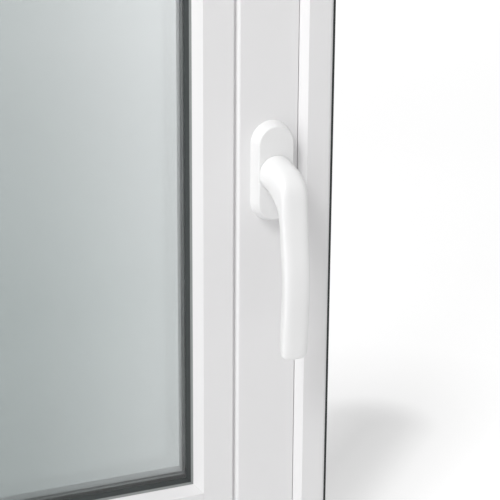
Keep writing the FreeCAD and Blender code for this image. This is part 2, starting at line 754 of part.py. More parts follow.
base = part("handle_base")
drafted_plate(base, "base_form", "(rosette_wall + base_clearance)", "base_depth")
nose_circles = [("circle", "0", shift, "nose_diameter / 2") for shift in
                ("screw_spacing / 2", "-screw_spacing / 2")]
pad(base, sketch(base, "base_noses", "XZ_Plane", nose_circles), "nose_length", backwards=True)
bearing = sketch(base, "base_bearing", "XZ_Plane",
                 [("circle", "0", "0", "collar_diameter / 2 + collar_clearance")])
pocket(base, bearing)
recess_half = "(disc_diameter / 2 + recess_clearance)"
recess = ("rounded", "-" + recess_half, "-" + recess_half, recess_half, recess_half, "recess_clearance")
pocket(base, sketch(base, "base_recess", "XZ_Plane", [recess]), "recess_depth", backwards=True)
pocket(base, sketch(base, "base_screw_holes", "XZ_Plane",
                    [("circle", "0", shift, "screw_diameter / 2 + 0.15") for shift in
                     ("screw_spacing / 2", "-screw_spacing / 2")]))
for spot, shift in (("upper", "screw_spacing / 2"), ("lower", "-screw_spacing / 2")):
    sink = sketch(base, spot + "_countersink", "YZ_Plane",
                  [[("-base_depth", shift), ("-base_depth", shift + " + screw_head / 2 + 0.1"),
                    ("-base_depth + screw_head / 3", shift + " + screw_diameter / 2 + 0.1"),
                    ("-base_depth + screw_head / 3", shift)]])
    groove = base.newObject("PartDesign::Groove", spot + "_sink")
    groove.Profile = sink
    groove.ReferenceAxis = None
    axis_line = base.newObject("PartDesign::Line", spot + "_axis")
    axis_line.MapMode = "Deactivated"
    axis_line.Placement = FreeCAD.Placement(FreeCAD.Vector(0, 0, 0),
                                            FreeCAD.Rotation(FreeCAD.Vector(1, 0, 0), 90))
    axis_line.setExpression("Placement.Base.z", cell(shift))
    groove.ReferenceAxis = (axis_line, [""])
    groove.Angle = 360
    doc.recompute()
place_at_handle(base)

lever = part("handle_lever")
stations = []
for number, (front, back, width, rounding) in enumerate(GRIP_STATIONS):
    out_step = "(%s * lever_reach)" % (front[0] - back[0])
    up_step = "(%s * lever_length)" % (front[1] - back[1])
    thick = "sqrt(%s ^ 2 + %s ^ 2)" % (out_step, up_step)
    half_width, half_thick = "(lever_width * %s / 2)" % width, "(%s / 2)" % thick
    radius = "(%s * min(2 * %s; 2 * %s))" % (rounding, half_width, half_thick)
    loop = ("rounded", "-" + half_width, "-" + half_thick, half_width, half_thick, radius)
    station = sketch(lever, "grip_station_%d" % number, "XZ_Plane", [loop])
    tilt = math.degrees(math.atan2(value(out_step), value(up_step)))
    station.AttachmentOffset = FreeCAD.Placement(FreeCAD.Vector(0, 0, 0),
                                                 FreeCAD.Rotation(FreeCAD.Vector(1, 0, 0), tilt))
    station.setExpression("AttachmentOffset.Base.y", cell("%s * lever_length" % ((front[1] + back[1]) / 2)))
    station.setExpression("AttachmentOffset.Base.z", cell("%s * lever_reach" % ((front[0] + back[0]) / 2)))
    stations.append(station)
grip = lever.newObject("PartDesign::AdditiveLoft", "grip")
grip.Profile = stations[0]
grip.Sections = stations[1:]
doc.recompute()
neck_out = "(%s * lever_reach)" % GRIP_STATIONS[0][0][0]
disc_front = "(recess_depth - base_play)"
collar = sketch(lever, "collar", "XZ_Plane", [("circle", "0", "0", "collar_diameter / 2")], disc_front)
pad(lever, collar, "%s + 1 - %s" % (neck_out, disc_front))
square = "(spindle_size / 2 + spindle_fit)"
spindle_hole = sketch(lever, "spindle_hole", "XZ_Plane",
                      [box_loop("-" + square, "-" + square, square, square)], disc_front)
pocket(lever, spindle_hole, "spindle_depth", backwards=True)
pin_out = "(base_depth - 1.2)"
pin_way = sketch(lever, "pin_way", "YZ_Plane", [("circle", "-" + pin_out, "0", "pin_diameter / 2")])
pocket(lever, pin_way)
place_at_handle(lever)

spindle = part("spindle")
bar = sketch(spindle, "spindle_section", "XZ_Plane",
             [box_loop("-spindle_size / 2", "-spindle_size / 2", "spindle_size / 2", "spindle_size / 2")],
             "-(%s + case_thickness / 2)" % gear_axis_y)
stock = pad(spindle, bar, "%s + case_thickness / 2 + %s + spindle_depth - 0.5" % (gear_axis_y, disc_front))
pocket(spindle, sketch(spindle, "spindle_pin_way", "YZ_Plane",
                       [("circle", "-" + pin_out, "0", "pin_diameter / 2")]))
place_at_handle(spindle)

pin = part("spindle_pin")
pad(pin, sketch(pin, "pin_section", "YZ_Plane", [("circle", "-" + pin_out, "0", "pin_diameter / 2")]),
    "collar_diameter - 0.8", both_ways=True)
place_at_handle(pin)

disc = part("detent_disc")
disc_outline = []
NOTCHES = 4
for notch in range(NOTCHES):
    middle = 360 / NOTCHES * notch
    for shift, depth in ((-9, "0"), (0, "disc_notch"), (9, "0"), (27, "0"), (45, "0"), (63, "0")):
        turn = middle + shift
        radius = "(disc_diameter / 2 - %s)" % depth
        disc_outline.append(("%s * cos(%s)" % (radius, turn), "%s * sin(%s)" % (radius, turn)))
disc_sketch = sketch(disc, "disc_section", "XZ_Plane",
                     [disc_outline, box_loop("-" + square, "-" + square, square, square)],
                     disc_front + " - disc_thickness")
pad(disc, disc_sketch, "disc_thickness")
place_at_handle(disc)


def detent_springs():
    """Two leaf springs, left and right of the disc, each with a nib resting in a notch."""
    nib_tip = value("disc_diameter / 2 - disc_notch + spring_clearance")
    leaf_in = value("disc_diameter / 2 + spring_clearance")
    leaf_out = leaf_in + value("spring_gauge")
    half = value(recess_half) - 0.6
    side_view = [(leaf_in, -half), (leaf_out, -half), (leaf_out, half), (leaf_in, half),
                 (leaf_in, 1.4), (nib_tip, 0.3), (nib_tip, -0.3), (leaf_in, -1.4)]
    centre = FreeCAD.Vector(value(handle_x), value(face_y), value(handle_z))
    front = value(disc_front)
    thick = value("disc_thickness")
    leaves = []
    for sign in (1, -1):
        corners = [centre + FreeCAD.Vector(sign * x, -front, z) for x, z in side_view]
        leaf = Part.Face(Part.makePolygon(corners + corners[:1])).extrude(FreeCAD.Vector(0, thick, 0))
        leaves.append(leaf)
    group("detent_springs", leaves)


detent_springs()


def rosette_screws():
    """The two countersunk screws that clamp the base to the sash, through its noses."""
    screws = []
    for shift in ("screw_spacing / 2", "-screw_spacing / 2"):
        head = FreeCAD.Vector(value(handle_x), value(face_y + " - base_depth + 0.1"),
                              value(handle_z + " + " + shift))
        screws.append(countersunk_screw(head, FreeCAD.Vector(0, 1, 0), value("screw_length"),
                                        value("screw_diameter"), value("screw_head"),
                                        value("screw_head / 3")))
    group("handle_screws", screws)


rosette_screws()

# ---------------------------------------------------------------------------------------------
# Edge gear: drawn about the handle axis; X runs to the sash edge, Y from the sash face inwards
# ---------------------------------------------------------------------------------------------
case_top = "(handle_setback - flange_width - rail_groove_depth + 2)"
case_bottom = "(-(%s) - gear_module - case_wall - case_fit)" % gear_radius
case_inside = "(%s + case_wall)" % case_bottom
case_half = "(case_length / 2)"
case_front = "(%s - case_thickness / 2)" % gear_axis_y
boss_way = ("circle", "0", "0", "pinion_boss_diameter / 2 + collar_clearance")
screw_ways = [("circle", "0", shift, "screw_diameter / 2 + 0.3") for shift in
              ("screw_spacing / 2", "-screw_spacing / 2")]

rail_low = "(rail_end_gap - handle_height)"
rail_high = "(sash_height - handle_height - rail_end_gap)"
plate_low = "(faceplate_end_gap - handle_height)"
plate_high = "(sash_height - handle_height - faceplate_end_gap)"
plate_under = "(handle_setback - flange_width - faceplate_seat)"
plate_top = "(%s + faceplate_thickness)" % plate_under
rail_top = "(%s - rail_float)" % plate_under
rail_under = "(%s - rail_thickness)" % rail_top
rack_root = "(%s + 1.2 * gear_module)" % gear_radius
rack_tip = "(%s - gear_module)" % gear_radius
rack_half = "(rack_gaps / 2 * pi * gear_module + rack_end)"
stroke = "(%s * pi / 2)" % gear_radius
cam_spots = {"lower": "(cam_place - handle_height)", "upper": "(sash_height - handle_height - cam_place)"}
screw_spots = ["(%s + plate_screw_inset)" % plate_low, "(%s + cam_screw_step)" % cam_spots["lower"],
               "(%s - cam_screw_step)" % cam_spots["upper"], "(%s - plate_screw_inset)" % plate_high]
post_spots = ["(%s - case_end_block / 2)" % case_half, "(case_end_block / 2 - %s)" % case_half]

case = part("gear_case")
case_block = sketch(case, "case_block", "XZ_Plane",
                    [box_loop(case_bottom, "-" + case_half, case_top, case_half)],
                    "-(%s + case_wall)" % case_front)
pad(case, case_block, "case_thickness - case_wall", backwards=True)
hollow = box_loop(case_inside, "-%s + case_end_block" % case_half, case_top + " + 1",
                  case_half + " - case_end_block")
case_hollow = sketch(case, "case_hollow", "XZ_Plane", [hollow], "-(%s + case_wall)" % case_front)
pocket(case, case_hollow, "case_thickness - 2 * case_wall")
pocket(case, sketch(case, "case_holes", "XZ_Plane", [boss_way] + screw_ways))
posts = [("circle", gear_axis_y, spot, "post_diameter / 2") for spot in post_spots]
pad(case, sketch(case, "case_posts", "YZ_Plane", posts, case_top), "%s - %s" % (plate_under, case_top))
place_at_handle(case)

lid = part("gear_case_lid")
lid_outline = [box_loop(case_bottom, "-" + case_half, case_top, case_half), boss_way] + screw_ways
pad(lid, sketch(lid, "lid_outline", "XZ_Plane", lid_outline, "-(%s)" % case_front), "case_wall",
    backwards=True)
place_at_handle(lid)


def gear_outline(module, teeth, backlash, pressure=math.radians(20), steps=5):
    """Corners of an involute spur gear with one tooth on the +X axis."""
    pitch = module * teeth / 2
    base_radius = pitch * math.cos(pressure)
    tip, root = pitch + module, pitch - 1.2 * module
    half_tooth = (math.pi * module / 2 - backlash) / 2 / pitch + math.tan(pressure) - pressure
    start = max(root, base_radius)
    flank = []
    for step in range(steps):
        radius = start + (tip - start) * step / (steps - 1)
        angle = math.acos(base_radius / radius)
        flank.append((radius, half_tooth - (math.tan(angle) - angle)))
    if root < base_radius:
        flank.insert(0, (root, half_tooth))
    corners = []
    for tooth in range(teeth):
        middle = 2 * math.pi * tooth / teeth
        for radius, half in flank:
            corners.append((radius * math.cos(middle - half), radius * math.sin(middle - half)))
        for radius, half in reversed(flank):
            corners.append((radius * math.cos(middle + half), radius * math.sin(middle + half)))
    return corners


def drive_pinion():
    """Toothed follower with two bearing bosses and a square hole for the spindle."""
    module, teeth = value("gear_module"), int(value("gear_teeth"))
    axis_y, width = value(gear_axis_y), value("gear_width")
    corners = [FreeCAD.Vector(x, 0, z) for x, z in gear_outline(module, teeth, value("gear_backlash"))]
    wheel = Part.Face(Part.makePolygon(corners + corners[:1])).extrude(FreeCAD.Vector(0, width, 0))
    wheel.translate(FreeCAD.Vector(0, axis_y - width / 2, 0))
    thickness = value("case_thickness")
    outward = FreeCAD.Vector(0, 1, 0)
    boss = Part.makeCylinder(value("pinion_boss_diameter / 2"), thickness,
                             FreeCAD.Vector(0, axis_y - thickness / 2, 0), outward)
    half = value(square)
    hole = Part.makeBox(2 * half, 2 * thickness, 2 * half,
                        FreeCAD.Vector(-half, axis_y - thickness, -half))
    pinion = doc.addObject("Part::Feature", "drive_pinion")
    pinion.Shape = wheel.fuse(boss).cut(hole).removeSplitter()
    solid_part("drive_pinion", pinion)
    place_at_handle(pinion)


drive_pinion()

# The rail lies under the faceplate and carries the rack; it slides along Z.
rail = part("drive_rail")
strip = sketch(rail, "rail_strip", "YZ_Plane",
               [("rounded", gear_axis_y + " - rail_width / 2", rail_low, gear_axis_y + " + rail_width / 2",
                 rail_high, "0.4 * rail_width")], rail_under)
pad(rail, strip, "rail_thickness")
rack_side = box_loop(rack_tip, "-" + rack_half, rail_under + " + 0.1", rack_half)
rack_bar = sketch(rail, "rack_bar", "XZ_Plane", [rack_side], "-(%s - gear_width / 2)" % gear_axis_y)
pad(rail, rack_bar, "gear_width", backwards=True)
gap_low = "(-(rack_gaps - 1) / 2 * pi * gear_module)"
slope = "tan(20)"
tip_half = "(pi * gear_module / 4 + gear_module * %s)" % slope
root_half = "(pi * gear_module / 4 - 1.2 * gear_module * %s)" % slope
gap_loop = [(rack_tip, "%s - %s" % (gap_low, tip_half)), (rack_root, "%s - %s" % (gap_low, root_half)),
            (rack_root, "%s + %s" % (gap_low, root_half)), (rack_tip, "%s + %s" % (gap_low, tip_half))]
first_gap = pocket(rail, sketch(rail, "rack_gap", "XZ_Plane", [gap_loop]))
before_gaps = rail.Shape.Volume
gaps = rail.newObject("PartDesign::LinearPattern", "rack_gaps")
gaps.Originals = [first_gap]
upright = next(item for item in rail.Origin.OriginFeatures if item.Role == "Z_Axis")
gaps.Direction = (upright, [""])
gaps.Mode = "Spacing"
gaps.setExpression("Offset", cell("pi * gear_module"))
gaps.Occurrences = int(value("rack_gaps"))
rail.Tip = gaps
doc.recompute()
if not rail.Shape.Volume < before_gaps:
    raise ValueError("the rack has no teeth")


def travel_slots(spots, diameter, up):
    """Rounded slots on the gear axis that give a round stem its travel, upwards or downwards."""
    half = "(%s / 2 + slot_clearance)" % diameter
    slots = []
    for spot in spots:
        low = spot if up else "(%s - %s)" % (spot, stroke)
        high = "(%s + %s)" % (spot, stroke) if up else spot
        slots.append(("rounded", "%s - %s" % (gear_axis_y, half), "%s - %s" % (low, half),
                      "%s + %s" % (gear_axis_y, half), "%s + %s" % (high, half), "0.9 * " + half))
    return slots


rail_slots = travel_slots(post_spots, "post_diameter", True)
rail_slots += travel_slots(screw_spots[1:3], "plate_screw_diameter", True)
pocket(rail, sketch(rail, "rail_slots", "YZ_Plane", rail_slots))
cam_holes = [("circle", gear_axis_y, spot, "0.38 * cam_neck") for spot in cam_spots.values()]
pocket(rail, sketch(rail, "rail_cam_holes", "YZ_Plane", cam_holes))
place_at_handle(rail)

faceplate = part("faceplate")
plate = sketch(faceplate, "plate_outline", "YZ_Plane",
               [("rounded", gear_axis_y + " - faceplate_width / 2 + slot_clearance / 2", plate_low,
                 gear_axis_y + " + faceplate_width / 2 - slot_clearance / 2", plate_high,
                 "0.45 * faceplate_width")], plate_under)
pad(faceplate, plate, "faceplate_thickness")
pocket(faceplate, sketch(faceplate, "plate_slots", "YZ_Plane",
                         travel_slots(list(cam_spots.values()), "cam_neck", False)))
stem_holes = [("circle", gear_axis_y, spot, "plate_screw_diameter / 2 + 0.1") for spot in screw_spots]
pocket(faceplate, sketch(faceplate, "plate_holes", "YZ_Plane", stem_holes))
head_sinks = [("circle", gear_axis_y, spot, "plate_screw_head / 2 + 0.1") for spot in screw_spots]
pocket(faceplate, sketch(faceplate, "plate_sinks", "YZ_Plane", head_sinks, plate_top),
       "0.6 * faceplate_thickness")
place_at_handle(faceplate)


def faceplate_screws():
    screws = []
    for spot in screw_spots:
        head = FreeCAD.Vector(value("%s + %s" % (handle_x, plate_top)), value(face_y + " + " + gear_axis_y),
                              value("%s + %s" % (handle_z, spot)))
        screws.append(countersunk_screw(head, FreeCAD.Vector(-1, 0, 0), value("plate_screw_length"),
                                        value("plate_screw_diameter"), value("plate_screw_head"),
                                        value("0.6 * faceplate_thickness")))
    group("faceplate_screws", screws)


faceplate_screws()
screw_pilots = [("circle", "%s + %s" % (along, spot), gear_axis_y, "plate_screw_diameter / 2 + 0.05")
                for spot in screw_spots]
pilots = sketch(lock_stile, "plate_screw_pilots", "XY_Plane", screw_pilots,
                "flange_width + rail_groove_depth")
pocket(lock_stile, pilots, "1.5 * wall", backwards=True)

# Mushroom locking cams, riveted into the rail and standing out through the faceplate slots.
for name, spot in cam_spots.items():
    cam = part("locking_cam_" + name)
    stem_radius, rivet_radius = "(cam_neck / 2)", "(0.38 * cam_neck)"
    head_start = "(%s + slot_clearance)" % plate_top
    head_end = "(%s + cam_height)" % plate_top
    half_view = [(rail_under, "0"), (rail_under, rivet_radius), (rail_top, rivet_radius),
                 (rail_top, stem_radius), (head_start, stem_radius), (head_start, "cam_diameter / 2"),
                 (head_start + " + 0.25 * cam_height", "cam_diameter / 2"),
                 (head_start + " + 0.32 * cam_height", "0.4 * cam_diameter"),
                 (head_end + " - 0.25 * cam_height", "0.4 * cam_diameter"),
                 (head_end + " - 0.2 * cam_height", "cam_diameter / 2"),
                 (head_end + " - 0.06 * cam_height", "cam_diameter / 2"),
                 (head_end, "0.42 * cam_diameter"), (head_end, "0")]
    profile = sketch(cam, cam.Name + "_section", "XZ_Plane", [half_view])
    turned = cam.newObject("PartDesign::Revolution", cam.Name + "_turned")
    turned.Profile = profile
    turned.ReferenceAxis = (profile, ["H_Axis"])
    turned.Angle = 360
    doc.recompute()
    place(cam, handle_x, "%s + %s" % (face_y, gear_axis_y), "%s + %s" % (handle_z, spot))

# ---------------------------------------------------------------------------------------------
# Hinge side: leaves drawn about their bore, which is the hinge axis
# ---------------------------------------------------------------------------------------------
HINGES = {"lower": "0", "upper": "(sash_height - 2 * hinge_height)"}
plate_left, plate_right = "(0.3 * barrel_diameter)", "(hinge_edge_gap + leaf_reach)"
screw_line = "(hinge_edge_gap + 0.55 * leaf_reach)"
screw_steps = ["-leaf_length / 3", "0", "leaf_length / 3"]

for name, height in HINGES.items():
    leaf = part("hinge_leaf_" + name)
    plate_loop = ("rounded", plate_left, "-leaf_length / 2", plate_right, "leaf_length / 2",
                  "2 * leaf_thickness")
    pad(leaf, sketch(leaf, "leaf_plate_" + name, "XZ_Plane", [plate_loop]), "leaf_thickness",
        both_ways=True)
    pad(leaf, sketch(leaf, "leaf_barrel_" + name, "XY_Plane", [("circle", "0", "0", "barrel_diameter / 2")]),
        "barrel_length", both_ways=True)
    relief = [box_loop(plate_left + " - 1", "barrel_length / 2", "0.62 * barrel_diameter", "leaf_length / 2"),
              box_loop(plate_left + " - 1", "-leaf_length / 2", "0.62 * barrel_diameter",
                       "-barrel_length / 2")]
    pocket(leaf, sketch(leaf, "leaf_relief_" + name, "XZ_Plane", relief))
    pocket(leaf, sketch(leaf, "leaf_bore_" + name, "XY_Plane", [("circle", "0", "0", "bush_diameter / 2")]))
    holes = [("circle", screw_line, step, "hinge_screw_diameter / 2 + 0.1") for step in screw_steps]
    pocket(leaf, sketch(leaf, "leaf_holes_" + name, "XZ_Plane", holes))
    sinks = [("circle", screw_line, step, "hinge_screw_diameter + 0.1") for step in screw_steps]
    pocket(leaf, sketch(leaf, "leaf_sinks_" + name, "XZ_Plane", sinks, "leaf_thickness / 2"),
           "0.6 * leaf_thickness")
    place(leaf, "0", "0", height)

    bush = part("hinge_bush_" + name)
    body_radius, bore_radius = "(bush_diameter / 2)", "(hinge_bore / 2)"
    collar_radius = "(0.47 * barrel_diameter)"
    wall_view = [(bore_radius, "-barrel_length / 2"), (body_radius, "-barrel_length / 2"),
                 (body_radius, "barrel_length / 2"), (collar_radius, "barrel_length / 2"),
                 (collar_radius, "barrel_length / 2 + bush_collar"),
                 (bore_radius, "barrel_length / 2 + bush_collar")]
    wall_sketch = sketch(bush, "bush_section_" + name, "XZ_Plane", [wall_view])
    turned = bush.newObject("PartDesign::Revolution", "bush_turned_" + name)
    turned.Profile = wall_sketch
    turned.ReferenceAxis = (wall_sketch, ["V_Axis"])
    turned.Angle = 360
    doc.recompute()
    place(bush, "0", "0", height)


def hinge_screws():
    screws = []
    for height in HINGES.values():
        for step in screw_steps:
            head = FreeCAD.Vector(value(screw_line), value("-leaf_thickness / 2"),
                                  value("%s + %s" % (height, step)))
            screws.append(countersunk_screw(head, FreeCAD.Vector(0, 1, 0), value("hinge_screw_length"),
                                            value("hinge_screw_diameter"),
                                            value("2 * hinge_screw_diameter"),
                                            value("0.6 * leaf_thickness")))
    group("hinge_screws", screws)


hinge_screws()
hinge_pilots = []
for height in HINGES.values():
    for step in screw_steps:
        # the left member's own X runs down the sash
        level = "(sash_height / 2 - hinge_height - %s - %s)" % (height, step)
        hinge_pilots.append(("circle", level, "0.55 * leaf_reach", "hinge_screw_diameter / 2 + 0.05"))
pilots = sketch(hinge_stile, "hinge_screw_pilots", "XZ_Plane", hinge_pilots, "border_rise")
pocket(hinge_stile, pilots, "hinge_screw_length")

# ---------------------------------------------------------------------------------------------
# Check and write
# ---------------------------------------------------------------------------------------------
doc.recompute()
for item in doc.Objects:
    if "Invalid" in item.State or "Error" in item.State:
        raise ValueError("%s failed: %s" % (item.Name, item.State))
for item in PARTS:
    if item.Shape.isNull() or not item.Shape.isValid() or item.Shape.Volume <= 0:
        raise ValueError(item.Label + " is not a sound solid")

os.makedirs("parts", exist_ok=True)
for item in PARTS:
    item.Shape.exportStep("parts/%s.step" % item.Label)
    print("%-24s %10.1f mm3, %d solid(s)" % (item.Label, item.Shape.Volume, len(item.Shape.Solids)))
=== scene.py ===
"""Window sash with a lever handle: finishes, screws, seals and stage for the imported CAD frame."""

import json
import math

import bmesh
import bpy
from mathutils import Matrix, Vector


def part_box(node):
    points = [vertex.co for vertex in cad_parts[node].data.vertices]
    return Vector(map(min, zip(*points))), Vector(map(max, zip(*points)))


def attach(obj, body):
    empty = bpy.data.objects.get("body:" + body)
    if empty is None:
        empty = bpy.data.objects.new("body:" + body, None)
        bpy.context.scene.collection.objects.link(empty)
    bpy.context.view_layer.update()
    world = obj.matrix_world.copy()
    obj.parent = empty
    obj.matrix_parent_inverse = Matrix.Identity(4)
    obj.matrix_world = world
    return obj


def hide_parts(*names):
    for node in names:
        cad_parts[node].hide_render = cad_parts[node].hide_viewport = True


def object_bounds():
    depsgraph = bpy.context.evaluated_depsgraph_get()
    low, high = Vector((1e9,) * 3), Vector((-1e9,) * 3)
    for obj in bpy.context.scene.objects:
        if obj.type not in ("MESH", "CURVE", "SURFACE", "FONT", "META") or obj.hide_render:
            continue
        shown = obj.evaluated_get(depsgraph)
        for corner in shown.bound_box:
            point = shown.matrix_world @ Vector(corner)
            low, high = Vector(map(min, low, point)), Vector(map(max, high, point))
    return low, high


bl_info = {
    "name": "Window Sash Finisher",
    "version": (1, 0, 0),
    "blender": (4, 5, 0),
    "location": "View3D > Sidebar > Window Sash",
    "description": "Finishes a plastic window sash with its glazing, handle and edge gear",
    "category": "Object",
}

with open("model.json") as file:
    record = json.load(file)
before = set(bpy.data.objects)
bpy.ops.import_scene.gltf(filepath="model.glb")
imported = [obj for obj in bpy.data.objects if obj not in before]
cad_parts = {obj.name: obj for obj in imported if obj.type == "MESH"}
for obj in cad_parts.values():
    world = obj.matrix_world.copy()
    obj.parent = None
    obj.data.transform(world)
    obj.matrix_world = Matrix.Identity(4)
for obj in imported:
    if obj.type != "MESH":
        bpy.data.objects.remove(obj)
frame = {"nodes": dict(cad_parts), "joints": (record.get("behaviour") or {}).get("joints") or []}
CAD_LOW, CAD_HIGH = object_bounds()
NODES = frame["nodes"]
HANDLE_AXIS = Vector(next(j["pos_m"] for j in frame["joints"] if j["name"] == "handle_turn"))

STILES = ("hinge_stile", "lock_stile", "bead_left", "bead_right")
RAILS = ("bottom_rail", "top_rail", "bead_bottom", "bead_top")
STEELS = ("bottom_rail_steel", "top_rail_steel", "hinge_stile_steel", "lock_stile_steel",
          "faceplate", "drive_rail", "gear_case_lid", "detent_springs")
CASTINGS = ("gear_case", "detent_disc", "drive_pinion")
BRIGHT = ("spindle", "spindle_pin", "locking_cam_lower", "locking_cam_upper", "handle_screws",
          "faceplate_screws", "hinge_screws")

COVER_SHARE = 0.945  # the cover's colour is this share of the lever's
SAME_PLACE = 0.000002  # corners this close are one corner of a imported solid
SEAM = 0.000003  # rims this close are closed into one skin
SHARP_ANGLE = math.radians(32)  # edges bent more than this stay crisp


# ---------------------------------------------------------------------------------------------
# Settings
# ---------------------------------------------------------------------------------------------
def colour(name, text, default):
    """A colour setting, in linear light."""
    return bpy.props.FloatVectorProperty(name=name, description=text, default=default,
                                         subtype="COLOR", size=3, min=0, max=1)


def distance(name, text, default):
    """A length setting in metres."""
    return bpy.props.FloatProperty(name=name, description=text, default=default, subtype="DISTANCE",
                                   unit="LENGTH", precision=4)


def amount(name, text, default):
    """A plain number setting from 0 to 1."""
    return bpy.props.FloatProperty(name=name, description=text, default=default, min=0, max=1)


def integer(name, text, default, low, high):
    """A whole number setting."""
    return bpy.props.IntProperty(name=name, description=text, default=default, min=low, max=high)


def bearing(name, text, degrees):
    """An angle setting, given in degrees."""
    return bpy.props.FloatProperty(name=name, description=text, default=math.radians(degrees),
                                   subtype="ANGLE")


def wattage(name, text, default):
    """A light's power setting in watts."""
    return bpy.props.FloatProperty(name=name, description=text, default=default, unit="POWER")


class FinishSettings(bpy.types.PropertyGroup):
    profile: colour("Profile", "White of the plastic profile and beads", (0.84, 0.835, 0.84))
    handle: colour("Handle", "White of the painted lever and hinge leaves", (0.90, 0.90, 0.90))
    seal: colour("Seal", "Black of the rubber seals", (0.031, 0.037, 0.037))
    outer_seal: colour("Outer seal", "Pale grey of the seal behind the glass", (0.62, 0.63, 0.625))
    lip: colour("Bead lip", "Grey of the soft lip on the beads", (0.26, 0.275, 0.27))
    # Both glass colours are the pane's own tint with painted shade: lighter at the top beside the
    # lock stile, darker lower down.
    glass_tint_with_painted_light: colour("Glass, light", "Tint of a pane at the top beside the lock stile",
                        (0.845, 0.862, 0.865))
    glass_tint_with_painted_shade: colour("Glass, dark", "Tint of a pane lower down, away from the lock stile",
                       (0.567, 0.602, 0.6))
    profile_gloss: amount("Profile roughness", "Roughness of the extruded plastic", 0.33)
    handle_gloss: amount("Handle roughness", "Roughness of the powder coat", 0.3)


class LeverSettings(bpy.types.PropertyGroup):
    reach: distance("Reach", "Distance the lever stands out from the frame", 0.048)
    length: distance("Length", "Length of the grip below the handle axis", 0.1215)
    width: distance("Width", "Width that the sections of the grip are shares of", 0.0174)
    collar: distance("Collar diameter", "Diameter of the collar that turns in the rosette", 0.016)
    bore_end: distance("Bore end", "Depth to which the packed lever's own faces are kept", 0.0199)
    steps: integer("Steps", "Rings of the grip between two sections", 8, 2, 24)
    columns: integer("Columns", "Facets round the grip", 96, 24, 256)


class FastenerSettings(bpy.types.PropertyGroup):
    hinge_head: distance("Hinge screw head", "Head diameter of the hinge screws", 0.0084)
    hinge_shank: distance("Hinge screw shank", "Shank diameter of the hinge screws", 0.0042)
    plate_head: distance("Faceplate screw head", "Head diameter of the faceplate screws", 0.0074)
    plate_shank: distance("Faceplate screw shank", "Shank diameter of the faceplate screws", 0.004)
    handle_head: distance("Handle screw head", "Head diameter of the handle screws", 0.009)
    handle_shank: distance("Handle screw shank", "Shank diameter of the handle screws", 0.005)
    seed: integer("Seed", "Picks how far each screw was turned home", 7, 0, 1000)


class StageSettings(bpy.types.PropertyGroup):
    lens: bpy.props.FloatProperty(name="Lens", description="Focal length on a 36 mm sensor",
                                  default=129.6, unit="CAMERA")
    azimuth: bearing("Azimuth", "Camera direction round the sash", -23.872)
    elevation: bearing("Elevation", "Camera angle above level", 18.39)
    roll: bearing("Roll", "Turn of the camera about its view", 0.373)
    camera_from_handle: bpy.props.FloatVectorProperty(
        name="Camera from handle", description="Camera's place measured from the handle axis",
        default=(-0.47998, -1.05087, 0.32788), size=3, subtype="TRANSLATION", unit="LENGTH")
    floor: colour("Floor", "White of the floor", (0.86, 0.86, 0.86))
    floor_lift: amount("Floor lift", "Glow that the eye sees on the open floor", 0.335)
    # Painted shadow: the floor's lower glow at the middle of the painted shadow's line.
    painted_shadow_lift: amount("Shadow lift", "Glow that the eye sees at the middle of the shadow", 0.18)
    key_power: wattage("Key light", "Power of the soft light at upper left", 28.3)
    side_power: wattage("Side light", "Power of the soft light at the left", 16.5)
    fill_power: wattage("Back light", "Power of the soft light behind the sash", 47.0)
    sky: amount("Sky", "Strength of the even white surround", 0.454)


# ---------------------------------------------------------------------------------------------
# Nodes
# ---------------------------------------------------------------------------------------------
def step(tree, kind, settings=None, **inputs):
    """A node with its properties and inputs set; an input is a value or another node's socket."""
    node = tree.nodes.new(kind)
    for label, setting in (settings or {}).items():
        setattr(node, label, setting)
    set_inputs(tree, node, **inputs)
    return node


def set_inputs(tree, node, **inputs):
    """Sets or links inputs by their names, with _ for a space or after a reserved word."""
    for label, source in inputs.items():
        feed(tree, node, label.rstrip("_").replace("_", " "), source)


def feed(tree, node, label, source):
    """Sets or links the node's enabled input with this name or number."""
    if isinstance(label, int):
        socket = node.inputs[label]
    else:
        socket = next(item for item in node.inputs
                      if item.enabled and item.name.lower() == label.lower())
    if isinstance(source, bpy.types.NodeSocket):
        tree.links.new(source, socket)
    else:
        socket.default_value = source


def result_of(tree, kind, operation, terms):
    """The result of a maths node on values or other nodes' sockets."""
    node = step(tree, kind, {"operation": operation})
    for index, term in enumerate(terms):
        feed(tree, node, index, term)
    return next(item for item in node.outputs if item.enabled)


def maths(tree, operation, *terms):
    """The result of one sum on numbers."""
    return result_of(tree, "ShaderNodeMath", operation, terms)


def vector_maths(tree, operation, *terms):
    """The result of one sum on vectors."""
    return result_of(tree, "ShaderNodeVectorMath", operation, terms)


def along_axis(tree, coordinate, start, end, easing="LINEAR"):
    """0 to 1 between two places on an axis."""
    return step(tree, "ShaderNodeMapRange", {"interpolation_type": easing}, Value=coordinate,
                From_Min=start, From_Max=end).outputs["Result"]


def between(tree, factor, low, high):
    """A number that runs between two values with a factor."""
    return step(tree, "ShaderNodeMapRange", Value=factor, To_Min=low, To_Max=high).outputs["Result"]


# ---------------------------------------------------------------------------------------------
# Materials
# ---------------------------------------------------------------------------------------------
def new_material(name):
    """An empty node material with its output and a Principled shader."""
    material = bpy.data.materials.new(name)
    material.use_nodes = True
    tree = material.node_tree
    tree.nodes.clear()
    shader = step(tree, "ShaderNodeBsdfPrincipled")
    step(tree, "ShaderNodeOutputMaterial", Surface=shader.outputs["BSDF"])
    return material, tree, shader


def object_place(tree, scale=(1, 1, 1)):
    """Object coordinates, stretched."""
    place = step(tree, "ShaderNodeTexCoord").outputs["Object"]
    return step(tree, "ShaderNodeMapping", Vector=place, Scale=scale).outputs["Vector"]


def noise(tree, vector, scale, detail):
    """A noise texture's value."""
    return step(tree, "ShaderNodeTexNoise", Vector=vector, Scale=scale,
                Detail=detail).outputs["Fac"]


